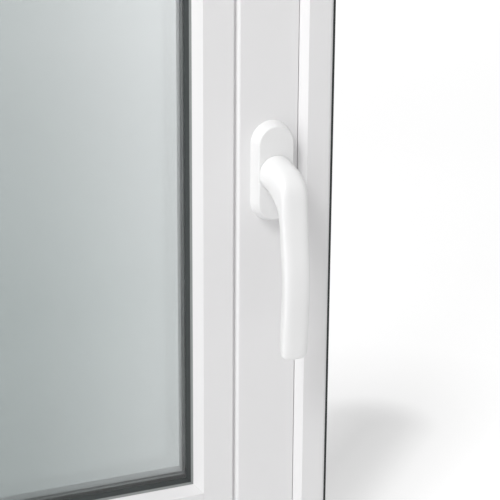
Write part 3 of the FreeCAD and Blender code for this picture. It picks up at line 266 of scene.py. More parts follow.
def blend_colours(tree, factor, first, second):
    """A colour that runs between two colours with a factor."""
    return step(tree, "ShaderNodeMix", {"data_type": "RGBA"}, Factor=factor, A=(*first, 1),
                B=(*second, 1)).outputs["Result"]


def blotched(tree, factor, tint, darkest, lightest):
    """A colour that runs between a darker and a lighter share of itself with a factor."""
    return blend_colours(tree, factor, scaled(tint, darkest), scaled(tint, lightest))


def relief(tree, height, depth, strength):
    """A normal bumped by a real depth in metres."""
    return step(tree, "ShaderNodeBump", Height=height, Distance=depth,
                Strength=strength).outputs["Normal"]


def scaled(tint, factor):
    """A colour made lighter or darker."""
    return tuple(min(1.0, part * factor) for part in tint)


def extruded_plastic(name, tint, roughness, along):
    """Smooth white plastic with faint draw lines along one axis and a trace of mottling."""
    material, tree, shader = new_material(name)
    stretch = [1.0, 1.0, 1.0]
    stretch["XYZ".index(along)] = 0.01
    lines = noise(tree, object_place(tree, stretch), scale=900, detail=2.0)
    mottle = noise(tree, object_place(tree), scale=14, detail=4.0)
    set_inputs(tree, shader, Base_Color=blotched(tree, mottle, tint, 0.985, 1.01),
               Roughness=between(tree, lines, roughness - 0.03, roughness + 0.05),
               Normal=relief(tree, lines, depth=0.00002, strength=0.35), IOR=1.52)
    return material


def powder_coat(name, tint, roughness):
    """Painted metal with the fine orange-peel skin of a powder coat."""
    material, tree, shader = new_material(name)
    place = object_place(tree)
    peel = noise(tree, place, scale=1100, detail=2.0)
    mottle = noise(tree, place, scale=30, detail=3.0)
    set_inputs(tree, shader, Base_Color=blotched(tree, mottle, tint, 0.985, 1.01),
               Roughness=between(tree, peel, roughness - 0.04, roughness + 0.04),
               Normal=relief(tree, peel, depth=0.00002, strength=0.3),
               Coat_Weight=0.25, Coat_Roughness=0.25)
    return material


def soft_rubber(name, tint, roughness):
    """Extruded rubber: dull, slightly blotched, with fine grain."""
    material, tree, shader = new_material(name)
    place = object_place(tree)
    grain = noise(tree, place, scale=1600, detail=2.0)
    blotch = noise(tree, place, scale=60, detail=4.0)
    set_inputs(tree, shader, Base_Color=blotched(tree, blotch, tint, 0.92, 1.1),
               Roughness=between(tree, grain, roughness - 0.08, roughness + 0.1),
               Normal=relief(tree, grain, depth=0.00004, strength=0.5))
    return material


def glass_with_painted_shade(name, light, dark):
    """Float glass with its own tint and painted shade: darker downwards and away from the lock
    stile.
    """
    stile_reach, foot_clear, foot_deep, height_share = 0.17, 0.34, 0.16, 0.38
    material, tree, shader = new_material(name)
    place = step(tree, "ShaderNodeTexCoord").outputs["Object"]
    parts = step(tree, "ShaderNodeSeparateXYZ", Vector=place).outputs
    low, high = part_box("pane_inner")
    # Painted shade: these two ramps set where the pane's colour turns darker.
    near_stile = along_axis(tree, parts["X"], high.x - stile_reach, high.x, "SMOOTHSTEP")
    upward = along_axis(tree, parts["Z"], low.z + foot_deep, low.z + foot_clear)
    share = step(tree, "ShaderNodeMix", Factor=height_share, A=near_stile, B=upward)
    dust = noise(tree, place, scale=25, detail=5.0)
    set_inputs(tree, shader, Base_Color=blend_colours(tree, share.outputs["Result"], dark, light),
               Roughness=between(tree, dust, 0.0, 0.015), Transmission_Weight=1.0, IOR=1.5)
    return material


def worked_metal(name, tint, roughness, grain_scale, contrast):
    """Bare or plated metal with a mottled surface, as zinc plate and die casting have."""
    material, tree, shader = new_material(name)
    place = object_place(tree)
    flakes = step(tree, "ShaderNodeTexVoronoi", Vector=place, Scale=grain_scale).outputs["Color"]
    grain = noise(tree, place, scale=grain_scale * 2.5, detail=4.0)
    set_inputs(tree, shader, Base_Color=blotched(tree, flakes, tint, 1 - contrast, 1 + contrast),
               Roughness=between(tree, grain, roughness - 0.08, roughness + 0.1),
               Normal=relief(tree, grain, depth=0.00003, strength=0.4), Metallic=1.0)
    return material


def dotted_spacer(name):
    """Mill-finish aluminium spacer with even rows of duller dots, as breather holes leave."""
    material = worked_metal(name, (0.62, 0.63, 0.64), 0.38, 260, 0.06)
    tree = material.node_tree
    shader = next(node for node in tree.nodes if node.type == "BSDF_PRINCIPLED")
    dots = step(tree, "ShaderNodeTexVoronoi", Vector=object_place(tree), Scale=300, Randomness=0)
    set_inputs(tree, shader, Roughness=between(tree, dots.outputs["Distance"], 0.3, 0.5))
    return material


FINISHES = {}


def make_finishes(settings):
    """Every finish of the sash, once."""
    profile, handle = settings.profile, settings.handle
    for name, kind, *look in (
            # name, kind, colour, roughness, then the axis or the grain's scale and contrast
            ("stile_plastic", extruded_plastic, profile, settings.profile_gloss, "Z"),
            ("rail_plastic", extruded_plastic, profile, settings.profile_gloss, "X"),
            ("handle_paint", powder_coat, handle, settings.handle_gloss),
            ("cover_plastic", powder_coat, scaled(handle, COVER_SHARE), settings.handle_gloss),
            ("black_rubber", soft_rubber, settings.seal, 0.62),
            ("grey_rubber", soft_rubber, settings.lip, 0.55),
            ("pale_rubber", soft_rubber, settings.outer_seal, 0.55),
            ("sealant", soft_rubber, scaled(settings.seal, 0.7), 0.5),
            ("grey_plastic", soft_rubber, (0.12, 0.12, 0.125), 0.5),
            ("pale_plastic", soft_rubber, (0.62, 0.62, 0.61), 0.45),
            ("zinc_plate", worked_metal, (0.60, 0.61, 0.62), 0.36, 900, 0.04),
            ("zinc_casting", worked_metal, (0.50, 0.50, 0.51), 0.5, 700, 0.06),
            ("bright_steel", worked_metal, (0.68, 0.68, 0.69), 0.24, 900, 0.04),
            ("spacer_metal", dotted_spacer),
            ("float_glass", glass_with_painted_shade, settings.glass_tint_with_painted_light, settings.glass_tint_with_painted_shade)):
        FINISHES[name] = kind(name, *look)


def wear(finish, *names):
    """Gives CAD nodes their finish."""
    for name in names:
        NODES[name].data.materials.clear()
        NODES[name].data.materials.append(FINISHES[finish])


def finish_nodes(finish, *names):
    """Gives CAD nodes their finish and evens the shading of their curved faces."""
    wear(finish, *names)
    for name in names:
        even_shading(NODES[name])


# ---------------------------------------------------------------------------------------------
# Geometry Nodes
# ---------------------------------------------------------------------------------------------
def new_tree(name, inputs, takes_geometry):
    """An empty geometry tree with named inputs: (name, socket type, default)."""
    tree = bpy.data.node_groups.new(name, "GeometryNodeTree")
    tree.interface.new_socket("Geometry", in_out="OUTPUT", socket_type="NodeSocketGeometry")
    if takes_geometry:
        tree.interface.new_socket("Geometry", in_out="INPUT", socket_type="NodeSocketGeometry")
    for label, kind, default in inputs:
        socket = tree.interface.new_socket(label, in_out="INPUT", socket_type=kind)
        if default is not None:
            socket.default_value = default
    source = tree.nodes.new("NodeGroupInput")
    result = tree.nodes.new("NodeGroupOutput")
    return tree, source, result


def add_tree(target, tree, values):
    """Adds a geometry modifier and sets its inputs by their identifiers."""
    modifier = target.modifiers.new(tree.name, "NODES")
    modifier.node_group = tree
    for item in tree.interface.items_tree:
        if item.item_type == "SOCKET" and item.in_out == "INPUT" and item.name in values:
            modifier[item.identifier] = values[item.name]


def even_tree():
    """Merges the loose corners of a faceted solid and smooths it between its sharp edges."""
    tree = bpy.data.node_groups.get("even_shading")
    if tree:
        return tree
    tree, source, result = new_tree(
        "even_shading", [("Sharp Angle", "NodeSocketFloat", SHARP_ANGLE)], True)
    merged = step(tree, "GeometryNodeMergeByDistance", Geometry=source.outputs["Geometry"],
                  Distance=SAME_PLACE)
    smooth = step(tree, "GeometryNodeSetShadeSmooth", {"domain": "FACE"},
                  Geometry=merged.outputs[0])
    bend = step(tree, "GeometryNodeInputMeshEdgeAngle").outputs["Unsigned Angle"]
    sharp = step(tree, "FunctionNodeCompare", {"data_type": "FLOAT", "operation": "GREATER_THAN"},
                 A=bend, B=source.outputs["Sharp Angle"])
    creased = step(tree, "GeometryNodeSetShadeSmooth", {"domain": "EDGE"}, Shade_Smooth=False,
                   Geometry=smooth.outputs[0], Selection=sharp.outputs["Result"])
    tree.links.new(creased.outputs[0], result.inputs["Geometry"])
    return tree


def even_shading(target):
    """Smooth shading that leaves large flat faces flat."""
    add_tree(target, even_tree(), {"Sharp Angle": SHARP_ANGLE})
    weighted = target.modifiers.new("weighted_normals", "WEIGHTED_NORMAL")
    weighted.keep_sharp = True
    weighted.weight = 100


def chosen(tree, kind, test, when_false, when_true):
    """One of two values."""
    return step(tree, "GeometryNodeSwitch", {"input_type": kind}, Switch=test, False_=when_false,
                True_=when_true).outputs[0]


def position(tree):
    """Each point's place."""
    return step(tree, "GeometryNodeInputPosition").outputs[0]


def lever_tree():
    """The lever's skin: rounded sections along its bent spine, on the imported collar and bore."""
    tree, source, result = new_tree("lever_skin", [
        ("Spine", "NodeSocketObject", None), ("Packed Lever", "NodeSocketObject", None),
        ("Axis", "NodeSocketVector", None), ("Collar Radius", "NodeSocketFloat", 0.008),
        ("Bore End", "NodeSocketFloat", 0.02), ("Steps", "NodeSocketInt", 8),
        ("Columns", "NodeSocketInt", 96), ("Finish", "NodeSocketMaterial", None)], False)
    given = source.outputs
    spine = step(tree, "GeometryNodeObjectInfo", Object=given["Spine"])
    line = step(tree, "GeometryNodeMeshToCurve", Mesh=spine.outputs["Geometry"])
    smooth = step(tree, "GeometryNodeCurveSplineType", {"spline_type": "CATMULL_ROM"},
                  Curve=line.outputs["Curve"])
    fine = step(tree, "GeometryNodeSetSplineResolution", Geometry=smooth.outputs["Curve"],
                Resolution=given["Steps"])
    rings = step(tree, "GeometryNodeResampleCurve", {"mode": "EVALUATED"}, Curve=fine.outputs[0])
    count = step(tree, "GeometryNodeAttributeDomainSize", {"component": "CURVE"},
                 Geometry=rings.outputs["Curve"]).outputs["Point Count"]
    # One extra row closes onto the collar and one closes the tip.
    around = maths(tree, "ADD", given["Columns"], 1)
    grid = step(tree, "GeometryNodeMeshGrid", Vertices_X=maths(tree, "ADD", count, 2),
                Vertices_Y=around)
    index = step(tree, "GeometryNodeInputIndex").outputs[0]
    row = maths(tree, "FLOOR", maths(tree, "DIVIDE", maths(tree, "ADD", index, 0.5), around))
    column = maths(tree, "SUBTRACT", index, maths(tree, "MULTIPLY", row, around))
    angle = maths(tree, "MULTIPLY", maths(tree, "DIVIDE", column, given["Columns"]), 2 * math.pi)
    ring = maths(tree, "MINIMUM", maths(tree, "MAXIMUM", maths(tree, "SUBTRACT", row, 1), 0),
                 maths(tree, "SUBTRACT", count, 1))

    def on_ring(kind, what):
        node = step(tree, "GeometryNodeSampleIndex", {"data_type": kind, "domain": "POINT"},
                    Geometry=rings.outputs["Curve"], Value=what, Index=ring)
        return node.outputs["Value"]

    def stored(kind, name):
        node = step(tree, "GeometryNodeInputNamedAttribute", {"data_type": kind}, Name=name)
        return node.outputs["Attribute"]

    centre = on_ring("FLOAT_VECTOR", position(tree))
    half_thick = on_ring("FLOAT_VECTOR", stored("FLOAT_VECTOR", "half_thick"))
    half_width = on_ring("FLOAT", stored("FLOAT", "half_width"))
    fullness = on_ring("FLOAT", stored("FLOAT", "fullness"))
    first = maths(tree, "LESS_THAN", row, 0.5)
    last = maths(tree, "GREATER_THAN", row, maths(tree, "ADD", count, 0.5))
    to_collar = maths(tree, "DIVIDE", given["Collar Radius"], half_width)
    size = chosen(tree, "FLOAT", last, chosen(tree, "FLOAT", first, 1.0, to_collar), 0.0)
    sides = []
    for turn in ("COSINE", "SINE"):
        wave = maths(tree, turn, angle)
        full = maths(tree, "POWER", maths(tree, "ABSOLUTE", wave), fullness)
        signed = maths(tree, "MULTIPLY", maths(tree, "SIGN", wave), full)
        sides.append(maths(tree, "MULTIPLY", signed, size))
    across = step(tree, "ShaderNodeCombineXYZ", X=maths(tree, "MULTIPLY", sides[0], half_width))
    up = step(tree, "ShaderNodeVectorMath", {"operation": "SCALE"}, Vector=half_thick,
              Scale=sides[1]).outputs["Vector"]
    place = vector_maths(tree, "ADD", vector_maths(tree, "ADD", centre, across.outputs[0]), up)
    packed = step(tree, "GeometryNodeObjectInfo", Object=given["Packed Lever"])
    whole = step(tree, "GeometryNodeMergeByDistance", Geometry=packed.outputs["Geometry"],
                 Distance=SAME_PLACE)
    away = vector_maths(tree, "SUBTRACT", position(tree), given["Axis"])
    parts = step(tree, "ShaderNodeSeparateXYZ", Vector=away).outputs
    radius = maths(tree, "SQRT", maths(tree, "ADD", maths(tree, "MULTIPLY", parts["X"], parts["X"]),
                                       maths(tree, "MULTIPLY", parts["Z"], parts["Z"])))
    collar_edge = maths(tree, "ADD", given["Collar Radius"], 10 * SAME_PLACE)
    beyond = maths(tree, "GREATER_THAN", maths(tree, "MULTIPLY", parts["Y"], -1), given["Bore End"])
    outside = maths(tree, "MAXIMUM", maths(tree, "GREATER_THAN", radius, collar_edge), beyond)
    core = step(tree, "GeometryNodeDeleteGeometry", {"domain": "FACE"}, Geometry=whole.outputs[0],
                Selection=outside)
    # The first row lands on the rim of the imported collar, so that the two skins close.
    rim = step(tree, "GeometryNodeSampleNearest", {"domain": "POINT"}, Geometry=core.outputs[0],
               Sample_Position=place).outputs[0]
    on_rim = step(tree, "GeometryNodeSampleIndex", {"data_type": "FLOAT_VECTOR", "domain": "POINT"},
                  Geometry=core.outputs[0], Index=rim, Value=position(tree)).outputs["Value"]
    skin = step(tree, "GeometryNodeSetPosition", Geometry=grid.outputs["Mesh"],
                Position=chosen(tree, "VECTOR", first, place, on_rim))
    closed = step(tree, "GeometryNodeMergeByDistance", Geometry=skin.outputs[0], Distance=SEAM)
    outward = step(tree, "GeometryNodeFlipFaces", Mesh=closed.outputs[0])
    joined = step(tree, "GeometryNodeJoinGeometry")
    for piece in (outward.outputs[0], core.outputs[0]):
        tree.links.new(piece, joined.inputs[0])
    welded = step(tree, "GeometryNodeMergeByDistance", Geometry=joined.outputs[0], Distance=SEAM)
    finish_tree(tree, welded.outputs[0], given["Finish"], result)
    return tree


def finish_tree(tree, geometry, finish, result):
    """Ends a tree with real geometry and its finish."""
    real = step(tree, "GeometryNodeRealizeInstances", Geometry=geometry)
    painted = step(tree, "GeometryNodeSetMaterial", Geometry=real.outputs[0], Material=finish)
    tree.links.new(painted.outputs[0], result.inputs[0])


# Shares of a screw's head diameter: depth of the head, its straight rim and the recess's two sides.
HEAD_DEPTH, HEAD_RIM, CROSS_SIDES = 1 / 3, 0.03, ((0.12, 0.56), (0.56, 0.12))
# Shares of its shank diameter: radius under the thread, rise in a turn and size of the ridge.
CORE, PITCH, RIDGE = 0.37, 0.42, 0.12
# Shares of the core's radius: blunt point of the shank and the thread's start.
POINT, THREAD_START = 0.3, 0.45
# The thread's height is a share of the shank's, and its start a share of the screw's length.
THREAD_RUN, THREAD_FOOT = 0.94, -0.965


def screw_tree():
    """Equal countersunk screws with cross recesses and threads, one at each given point."""
    tree, source, result = new_tree("screw_set", [
        ("Outward", "NodeSocketVector", None), ("Head Diameter", "NodeSocketFloat", 0.008),
        ("Shank Diameter", "NodeSocketFloat", 0.004), ("Length", "NodeSocketFloat", 0.02),
        ("Seed", "NodeSocketInt", 0), ("Finish", "NodeSocketMaterial", None)], True)
    given = source.outputs
    head = maths(tree, "DIVIDE", given["Head Diameter"], 2)
    core = maths(tree, "MULTIPLY", given["Shank Diameter"], CORE)
    deep = maths(tree, "MULTIPLY", given["Head Diameter"], HEAD_DEPTH)
    rim = maths(tree, "MULTIPLY", given["Head Diameter"], HEAD_RIM)
    cone = step(tree, "GeometryNodeMeshCone", Vertices=48, Radius_Top=head, Radius_Bottom=core,
                Depth=maths(tree, "SUBTRACT", deep, rim))
    cone_place = moved(tree, cone.outputs["Mesh"], maths(tree, "MULTIPLY", deep, -1))
    edge = step(tree, "GeometryNodeMeshCylinder", Vertices=48, Radius=head, Depth=rim)
    edge_place = moved(tree, edge.outputs["Mesh"], maths(tree, "MULTIPLY", rim, -0.5))
    bars = []
    for wide, long in CROSS_SIDES:
        size = step(tree, "ShaderNodeCombineXYZ", Z=deep,
                    X=maths(tree, "MULTIPLY", given["Head Diameter"], wide),
                    Y=maths(tree, "MULTIPLY", given["Head Diameter"], long)).outputs[0]
        bars.append(step(tree, "GeometryNodeMeshCube", Size=size).outputs["Mesh"])
    blank = step(tree, "GeometryNodeMeshBoolean", {"operation": "UNION", "solver": "EXACT"})
    for piece in (cone_place, edge_place):
        tree.links.new(piece, blank.inputs["Mesh 2"])
    recessed = step(tree, "GeometryNodeMeshBoolean", {"operation": "DIFFERENCE", "solver": "EXACT"})
    tree.links.new(blank.outputs["Mesh"], recessed.inputs["Mesh 1"])
    for piece in bars:
        tree.links.new(piece, recessed.inputs["Mesh 2"])
    run = maths(tree, "SUBTRACT", given["Length"], deep)
    shank = step(tree, "GeometryNodeMeshCone", Vertices=32, Radius_Top=core,
                 Radius_Bottom=maths(tree, "MULTIPLY", core, POINT), Depth=run)
    shank_place = moved(tree, shank.outputs["Mesh"], maths(tree, "MULTIPLY", given["Length"], -1))
    turns = maths(tree, "DIVIDE", run, maths(tree, "MULTIPLY", given["Shank Diameter"], PITCH))
    helix = step(tree, "GeometryNodeCurveSpiral", Resolution=20, Rotations=turns,
                 Start_Radius=maths(tree, "MULTIPLY", core, THREAD_START), End_Radius=core,
                 Height=maths(tree, "MULTIPLY", run, THREAD_RUN))
    ridge = step(tree, "GeometryNodeCurvePrimitiveCircle", Resolution=4,
                 Radius=maths(tree, "MULTIPLY", given["Shank Diameter"], RIDGE))
    thread = step(tree, "GeometryNodeCurveToMesh", Curve=helix.outputs[0],
                  Profile_Curve=ridge.outputs[0], Fill_Caps=True)
    thread_place = moved(tree, thread.outputs[0],
                         maths(tree, "MULTIPLY", given["Length"], THREAD_FOOT))
    one = step(tree, "GeometryNodeJoinGeometry")
    for piece in (recessed.outputs["Mesh"], shank_place, thread_place):
        tree.links.new(piece, one.inputs[0])
    stand = step(tree, "FunctionNodeAlignRotationToVector", {"axis": "Z"}, Vector=given["Outward"])
    spin = step(tree, "FunctionNodeRandomValue", {"data_type": "FLOAT"}, Min=0.0, Max=math.pi,
                Seed=given["Seed"])
    spin_value = next(item for item in spin.outputs if item.enabled)
    euler = step(tree, "ShaderNodeCombineXYZ", Z=spin_value).outputs[0]
    turned = step(tree, "FunctionNodeRotateRotation", {"rotation_space": "LOCAL"},
                  Rotation=stand.outputs[0], Rotate_By=euler)
    set_out = step(tree, "GeometryNodeInstanceOnPoints", Points=given["Geometry"],
                   Instance=one.outputs[0], Rotation=turned.outputs[0])
    finish_tree(tree, set_out.outputs[0], given["Finish"], result)
    return tree


def moved(tree, mesh, height):
    """A mesh moved along its own axis."""
    lift = step(tree, "ShaderNodeCombineXYZ", Z=height).outputs[0]
    return step(tree, "GeometryNodeTransform", Geometry=mesh, Translation=lift).outputs[0]


def points_object(name, places, edges=()):
    """A scratch object that holds points for a tree."""
    mesh = bpy.data.meshes.new(name)
    mesh.from_pydata([tuple(place) for place in places], list(edges), [])
    target = bpy.data.objects.new(name, mesh)
    bpy.context.scene.collection.objects.link(target)
    return target


def solids_of(name):
    """The box of each separate solid in a CAD node."""
    form = bmesh.new()
    form.from_mesh(NODES[name].data)
    bmesh.ops.remove_doubles(form, verts=form.verts, dist=SAME_PLACE)
    left, boxes = set(form.verts), []
    while left:
        heap, found = [left.pop()], []
        while heap:
            corner = heap.pop()
            found.append(corner.co.copy())
            for side in corner.link_edges:
                other = side.other_vert(corner)
                if other in left:
                    left.remove(other)
                    heap.append(other)
        boxes.append([Vector(map(pick, zip(*found))) for pick in (min, max)])
    form.free()
    return sorted(boxes, key=lambda box: tuple(box[0]))


def settle(target, name):
    """Turns a modified object into a plain mesh object of the given name."""
    graph = bpy.context.evaluated_depsgraph_get()
    graph.update()
    mesh = bpy.data.meshes.new_from_object(target.evaluated_get(graph))
    settled = bpy.data.objects.new(name, mesh)
    mesh.name = name
    bpy.context.scene.collection.objects.link(settled)
    bpy.data.objects.remove(target)
    if not mesh.polygons:
        raise RuntimeError(name + " came out empty")
    return settled


# ---------------------------------------------------------------------------------------------
# Pieces
# ---------------------------------------------------------------------------------------------
GRIP_SECTIONS = (
    # front (out, up), back (out, up), width, corner rounding
    ((0.188, 0.101), (0.188, -0.101), 1.41, 0.49), ((0.410, 0.083), (0.342, -0.113), 1.31, 0.45),
    ((0.636, 0.050), (0.490, -0.142), 1.23, 0.37), ((0.797, -0.024), (0.622, -0.180), 1.13, 0.28),
    ((0.845, -0.169), (0.686, -0.244), 1.10, 0.28), ((0.893, -0.312), (0.716, -0.335), 1.09, 0.28),
    ((0.942, -0.450), (0.760, -0.445), 1.08, 0.28), ((0.960, -0.590), (0.786, -0.580), 1.08, 0.28),
    ((0.942, -0.730), (0.766, -0.723), 1.08, 0.28), ((0.918, -0.860), (0.742, -0.853), 1.08, 0.29),
    ((0.909, -0.936), (0.736, -0.929), 1.08, 0.31), ((0.904, -0.971), (0.742, -0.964), 1.03, 0.36),
    ((0.889, -0.987), (0.757, -0.982), 0.86, 0.41),
)


def build_lever(settings):
    """The lever with its crowned grip."""
    def place(spot):
        return HANDLE_AXIS + Vector((0, -spot[0] * settings.reach, spot[1] * settings.length))

    fronts = [place(section[0]) for section in GRIP_SECTIONS]
    backs = [place(section[1]) for section in GRIP_SECTIONS]
    spine = points_object("lever_spine", [(front + back) / 2 for front, back in zip(fronts, backs)],
                          [(number, number + 1) for number in range(len(fronts) - 1)])
    for label, kind in (("half_thick", "FLOAT_VECTOR"), ("half_width", "FLOAT"),
                        ("fullness", "FLOAT")):
        spine.data.attributes.new(label, kind, "POINT")
    stored = spine.data.attributes
    for number, section in enumerate(GRIP_SECTIONS):
        stored["half_thick"].data[number].vector = (fronts[number] - backs[number]) / 2
        stored["half_width"].data[number].value = section[2] * settings.width / 2
        stored["fullness"].data[number].value = 2 * section[3]
    carrier = points_object("lever_carrier", [])
    add_tree(carrier, lever_tree(), {
        "Spine": spine, "Packed Lever": NODES["handle_lever"], "Axis": HANDLE_AXIS,
        "Collar Radius": settings.collar / 2, "Bore End": settings.bore_end,
        "Steps": settings.steps, "Columns": settings.columns,
        "Finish": FINISHES["handle_paint"]})
    lever = settle(carrier, "crowned_lever")
    bpy.data.objects.remove(spine)
    even_shading(lever)
    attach(lever, "handle")
    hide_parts("handle_lever")


def build_screws(name, node, body, outward, head, shank, seed):
    """Screws with recesses and threads in place of a CAD node's plain ones."""
    outward = Vector(outward)
    boxes = solids_of(node)
    places = []
    for low, high in boxes:
        middle, half = (low + high) / 2, (high - low) / 2
        places.append(middle + outward * abs(outward.dot(half)))
    length = 2 * abs(outward.dot((boxes[0][1] - boxes[0][0]) / 2))
    carrier = points_object(name + "_points", places)
    add_tree(carrier, bpy.data.node_groups.get("screw_set") or screw_tree(), {
        "Outward": outward, "Head Diameter": head, "Shank Diameter": shank, "Length": length,
        "Seed": seed, "Finish": FINISHES["bright_steel"]})
    screws = settle(carrier, name)
    even_shading(screws)
    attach(screws, body)
    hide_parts(node)


# ---------------------------------------------------------------------------------------------
# Stage
# ---------------------------------------------------------------------------------------------
FLOOR_HALF, FLOOR_GAP = 6.0, 0.0005  # half a side, and how far below the sash's foot it lies
# A painted shadow lies along this line, where the floor's glow is lowest. Its ends are measured
# from the floor under the handle axis.
PAINTED_SHADOW_LINE = (Vector((0.042, 0.093, 0)), Vector((0.212, 0.253, 0)))
NEAR_FLOOR = 1.0  # the glow follows the distance from that line up to here
FAR_FLOOR, FAR_GLOW = (2.3, 4.5), 0.29  # farther out it rises by this much, to meet the sky
# Painted shadow: close to the line the floor glows less, so it looks darker.
PAINTED_SHADOW_GLOWS = ((0.0, 0.0), (0.03, 0.06))  # distance, and glow above the shadow's lift
# Farther out the glow keeps changing with the distance, which shapes the painted shadow's soft
# edge.
OPEN_GLOWS = ((0.065, 0.07), (0.12, 0.1), (0.2, 0.12), (0.3, 0.084), (0.45, 0.038), (0.6, 0.018),
              (NEAR_FLOOR, 0.008))  # distance, and glow above the floor's lift


def build_floor(settings):
    """A wide floor at the sash's foot that keeps the real shadow and turns white to the eye, with a
    painted shadow where its glow drops along a line out from the lock stile's foot.
    """
    mesh = bpy.data.meshes.new("floor")
    level = CAD_LOW.z - FLOOR_GAP
    sides = ((-1, -1), (1, -1), (1, 1), (-1, 1))
    mesh.from_pydata([(x * FLOOR_HALF, y * FLOOR_HALF, level) for x, y in sides], [],
                     [(0, 1, 2, 3)])
    floor = bpy.data.objects.new("floor", mesh)
    bpy.context.scene.collection.objects.link(floor)
    material, tree, shader = new_material("floor_white")
    set_inputs(tree, shader, Base_Color=(*settings.floor, 1), Roughness=0.9,
               Specular_IOR_Level=0.0)
    foot = Vector((HANDLE_AXIS.x, HANDLE_AXIS.y, level))
    reach = from_line(tree, step(tree, "ShaderNodeTexCoord").outputs["Object"],
                      *(foot + end for end in PAINTED_SHADOW_LINE))
    # Painted shadow: the glow follows the distance from the painted shadow's line.
    lift = step(tree, "ShaderNodeValToRGB", Fac=along_axis(tree, reach, 0.0, NEAR_FLOOR))
    stops = lift.color_ramp.elements
    stops.remove(stops[-1])
    glows = [(far, settings.painted_shadow_lift + more) for far, more in PAINTED_SHADOW_GLOWS]
    glows += [(far, settings.floor_lift + more) for far, more in OPEN_GLOWS]
    for index, (far, strength) in enumerate(glows):
        stop = stops.new(far / NEAR_FLOOR) if index else stops[0]
        stop.position, stop.color = far / NEAR_FLOOR, (strength, strength, strength, 1)
    far_lift = maths(tree, "MULTIPLY_ADD", along_axis(tree, reach, *FAR_FLOOR), FAR_GLOW,
                     lift.outputs["Color"])
    strength = maths(tree, "MULTIPLY", seen_by_eye(tree), far_lift)
    glow = step(tree, "ShaderNodeEmission", Strength=strength)
    total = step(tree, "ShaderNodeAddShader")
    feed(tree, total, 0, shader.outputs["BSDF"])
    feed(tree, total, 1, glow.outputs["Emission"])
    output = next(node for node in tree.nodes if node.type == "OUTPUT_MATERIAL")
    set_inputs(tree, output, Surface=total.outputs["Shader"])
    mesh.materials.append(material)


def from_line(tree, coordinate, start, end):
    """Distance from the line between two points."""
    run = end - start
    along = along_axis(tree, vector_maths(tree, "DOT_PRODUCT", coordinate, run), start.dot(run),
                       end.dot(run))
    nearest = vector_maths(tree, "MULTIPLY_ADD", along, run, start)
    return vector_maths(tree, "DISTANCE", coordinate, nearest)


def seen_by_eye(tree):
    """1 for a ray from the camera, off a mirror or through glass, and 0 for any other."""
    path = step(tree, "ShaderNodeLightPath").outputs
    straight = maths(tree, "MAXIMUM", path["Is Camera Ray"], path["Is Glossy Ray"])
    return maths(tree, "MAXIMUM", straight, path["Is Transmission Ray"])


def build_surround(scene, settings):
    """An even pale sky that is white where it is looked at."""
    world = bpy.data.worlds.new("studio")
    scene.world = world
    world.use_nodes = True
    tree = world.node_tree
    tree.nodes.clear()
    strength = between(tree, seen_by_eye(tree), settings.sky, 1.0)
    sky = step(tree, "ShaderNodeBackground", Color=(1, 1, 1, 1), Strength=strength)
    step(tree, "ShaderNodeOutputWorld", Surface=sky.outputs["Background"])


def area_light(name, offset, size, power):
    """A soft square light that looks at the handle from an offset."""
    data = bpy.data.lights.new(name, "AREA")
    data.shape = "RECTANGLE"
    data.size, data.size_y = size, size
    data.energy = power
    light = bpy.data.objects.new(name, data)
    bpy.context.scene.collection.objects.link(light)
    light.location = HANDLE_AXIS + Vector(offset)
    light.rotation_euler = (HANDLE_AXIS - light.location).to_track_quat("-Z", "Y").to_euler()
    return light


def build_lights(settings):
    """Soft lights at the upper left and the left on the room side, and one far behind the sash."""
    area_light("key", (-1.3, -1.0, 1.7), 0.9, settings.key_power)
    area_light("side", (-2.6, -1.0, 0.8), 2.0, settings.side_power)
    fill = area_light("fill", (1.4, 4.2, 1.6), 2.0, settings.fill_power)
    for kind in ("camera", "transmission", "glossy"):
        setattr(fill, "visible_" + kind, False)


def build_camera(scene, settings):
    """The camera at its place from the handle, turned by azimuth, elevation and roll."""
    data = bpy.data.cameras.new("camera")
    data.lens = settings.lens
    data.sensor_width = 36
    data.clip_start, data.clip_end = 0.05, 60
    camera = bpy.data.objects.new("camera", data)
    scene.collection.objects.link(camera)
    turn, rise, roll = settings.azimuth, settings.elevation, settings.roll
    back = Vector((math.sin(turn) * math.cos(rise), -math.cos(turn) * math.cos(rise),
                   math.sin(rise)))
    level = (-back).cross(Vector((0, 0, 1))).normalized()
    upward = level.cross(-back)
    right = math.cos(roll) * level + math.sin(roll) * upward
    top = math.cos(roll) * upward - math.sin(roll) * level
    axes = Matrix((right, top, back)).transposed()
    place = HANDLE_AXIS + Vector(settings.camera_from_handle)
    camera.matrix_world = Matrix.Translation(place) @ axes.to_4x4()
    scene.camera = camera


# ---------------------------------------------------------------------------------------------
# Operators
# ---------------------------------------------------------------------------------------------
class SASH_OT_finishes(bpy.types.Operator):
    """Make the finishes of the sash"""

    bl_idname = "sash.finishes"
    bl_label = "Make Finishes"

    def execute(self, context):
        make_finishes(context.scene.sash_finish)
        return {"FINISHED"}


class SASH_OT_profiles(bpy.types.Operator):
    """Finish the welded frame members and the glazing beads"""

    bl_idname = "sash.profiles"
    bl_label = "Finish Profiles"

    def execute(self, context):
        finish_nodes("stile_plastic", *STILES)
        finish_nodes("rail_plastic", *RAILS)
        return {"FINISHED"}


class SASH_OT_seals(bpy.types.Operator):
    """Finish the seals and the soft lip of the beads"""

    bl_idname = "sash.seals"
    bl_label = "Finish Seals"

    def execute(self, context):
        finish_nodes("black_rubber", "glazing_seal_inner", "edge_seal")
        finish_nodes("grey_rubber", "bead_lip")
        finish_nodes("pale_rubber", "glazing_seal_outer")
        return {"FINISHED"}


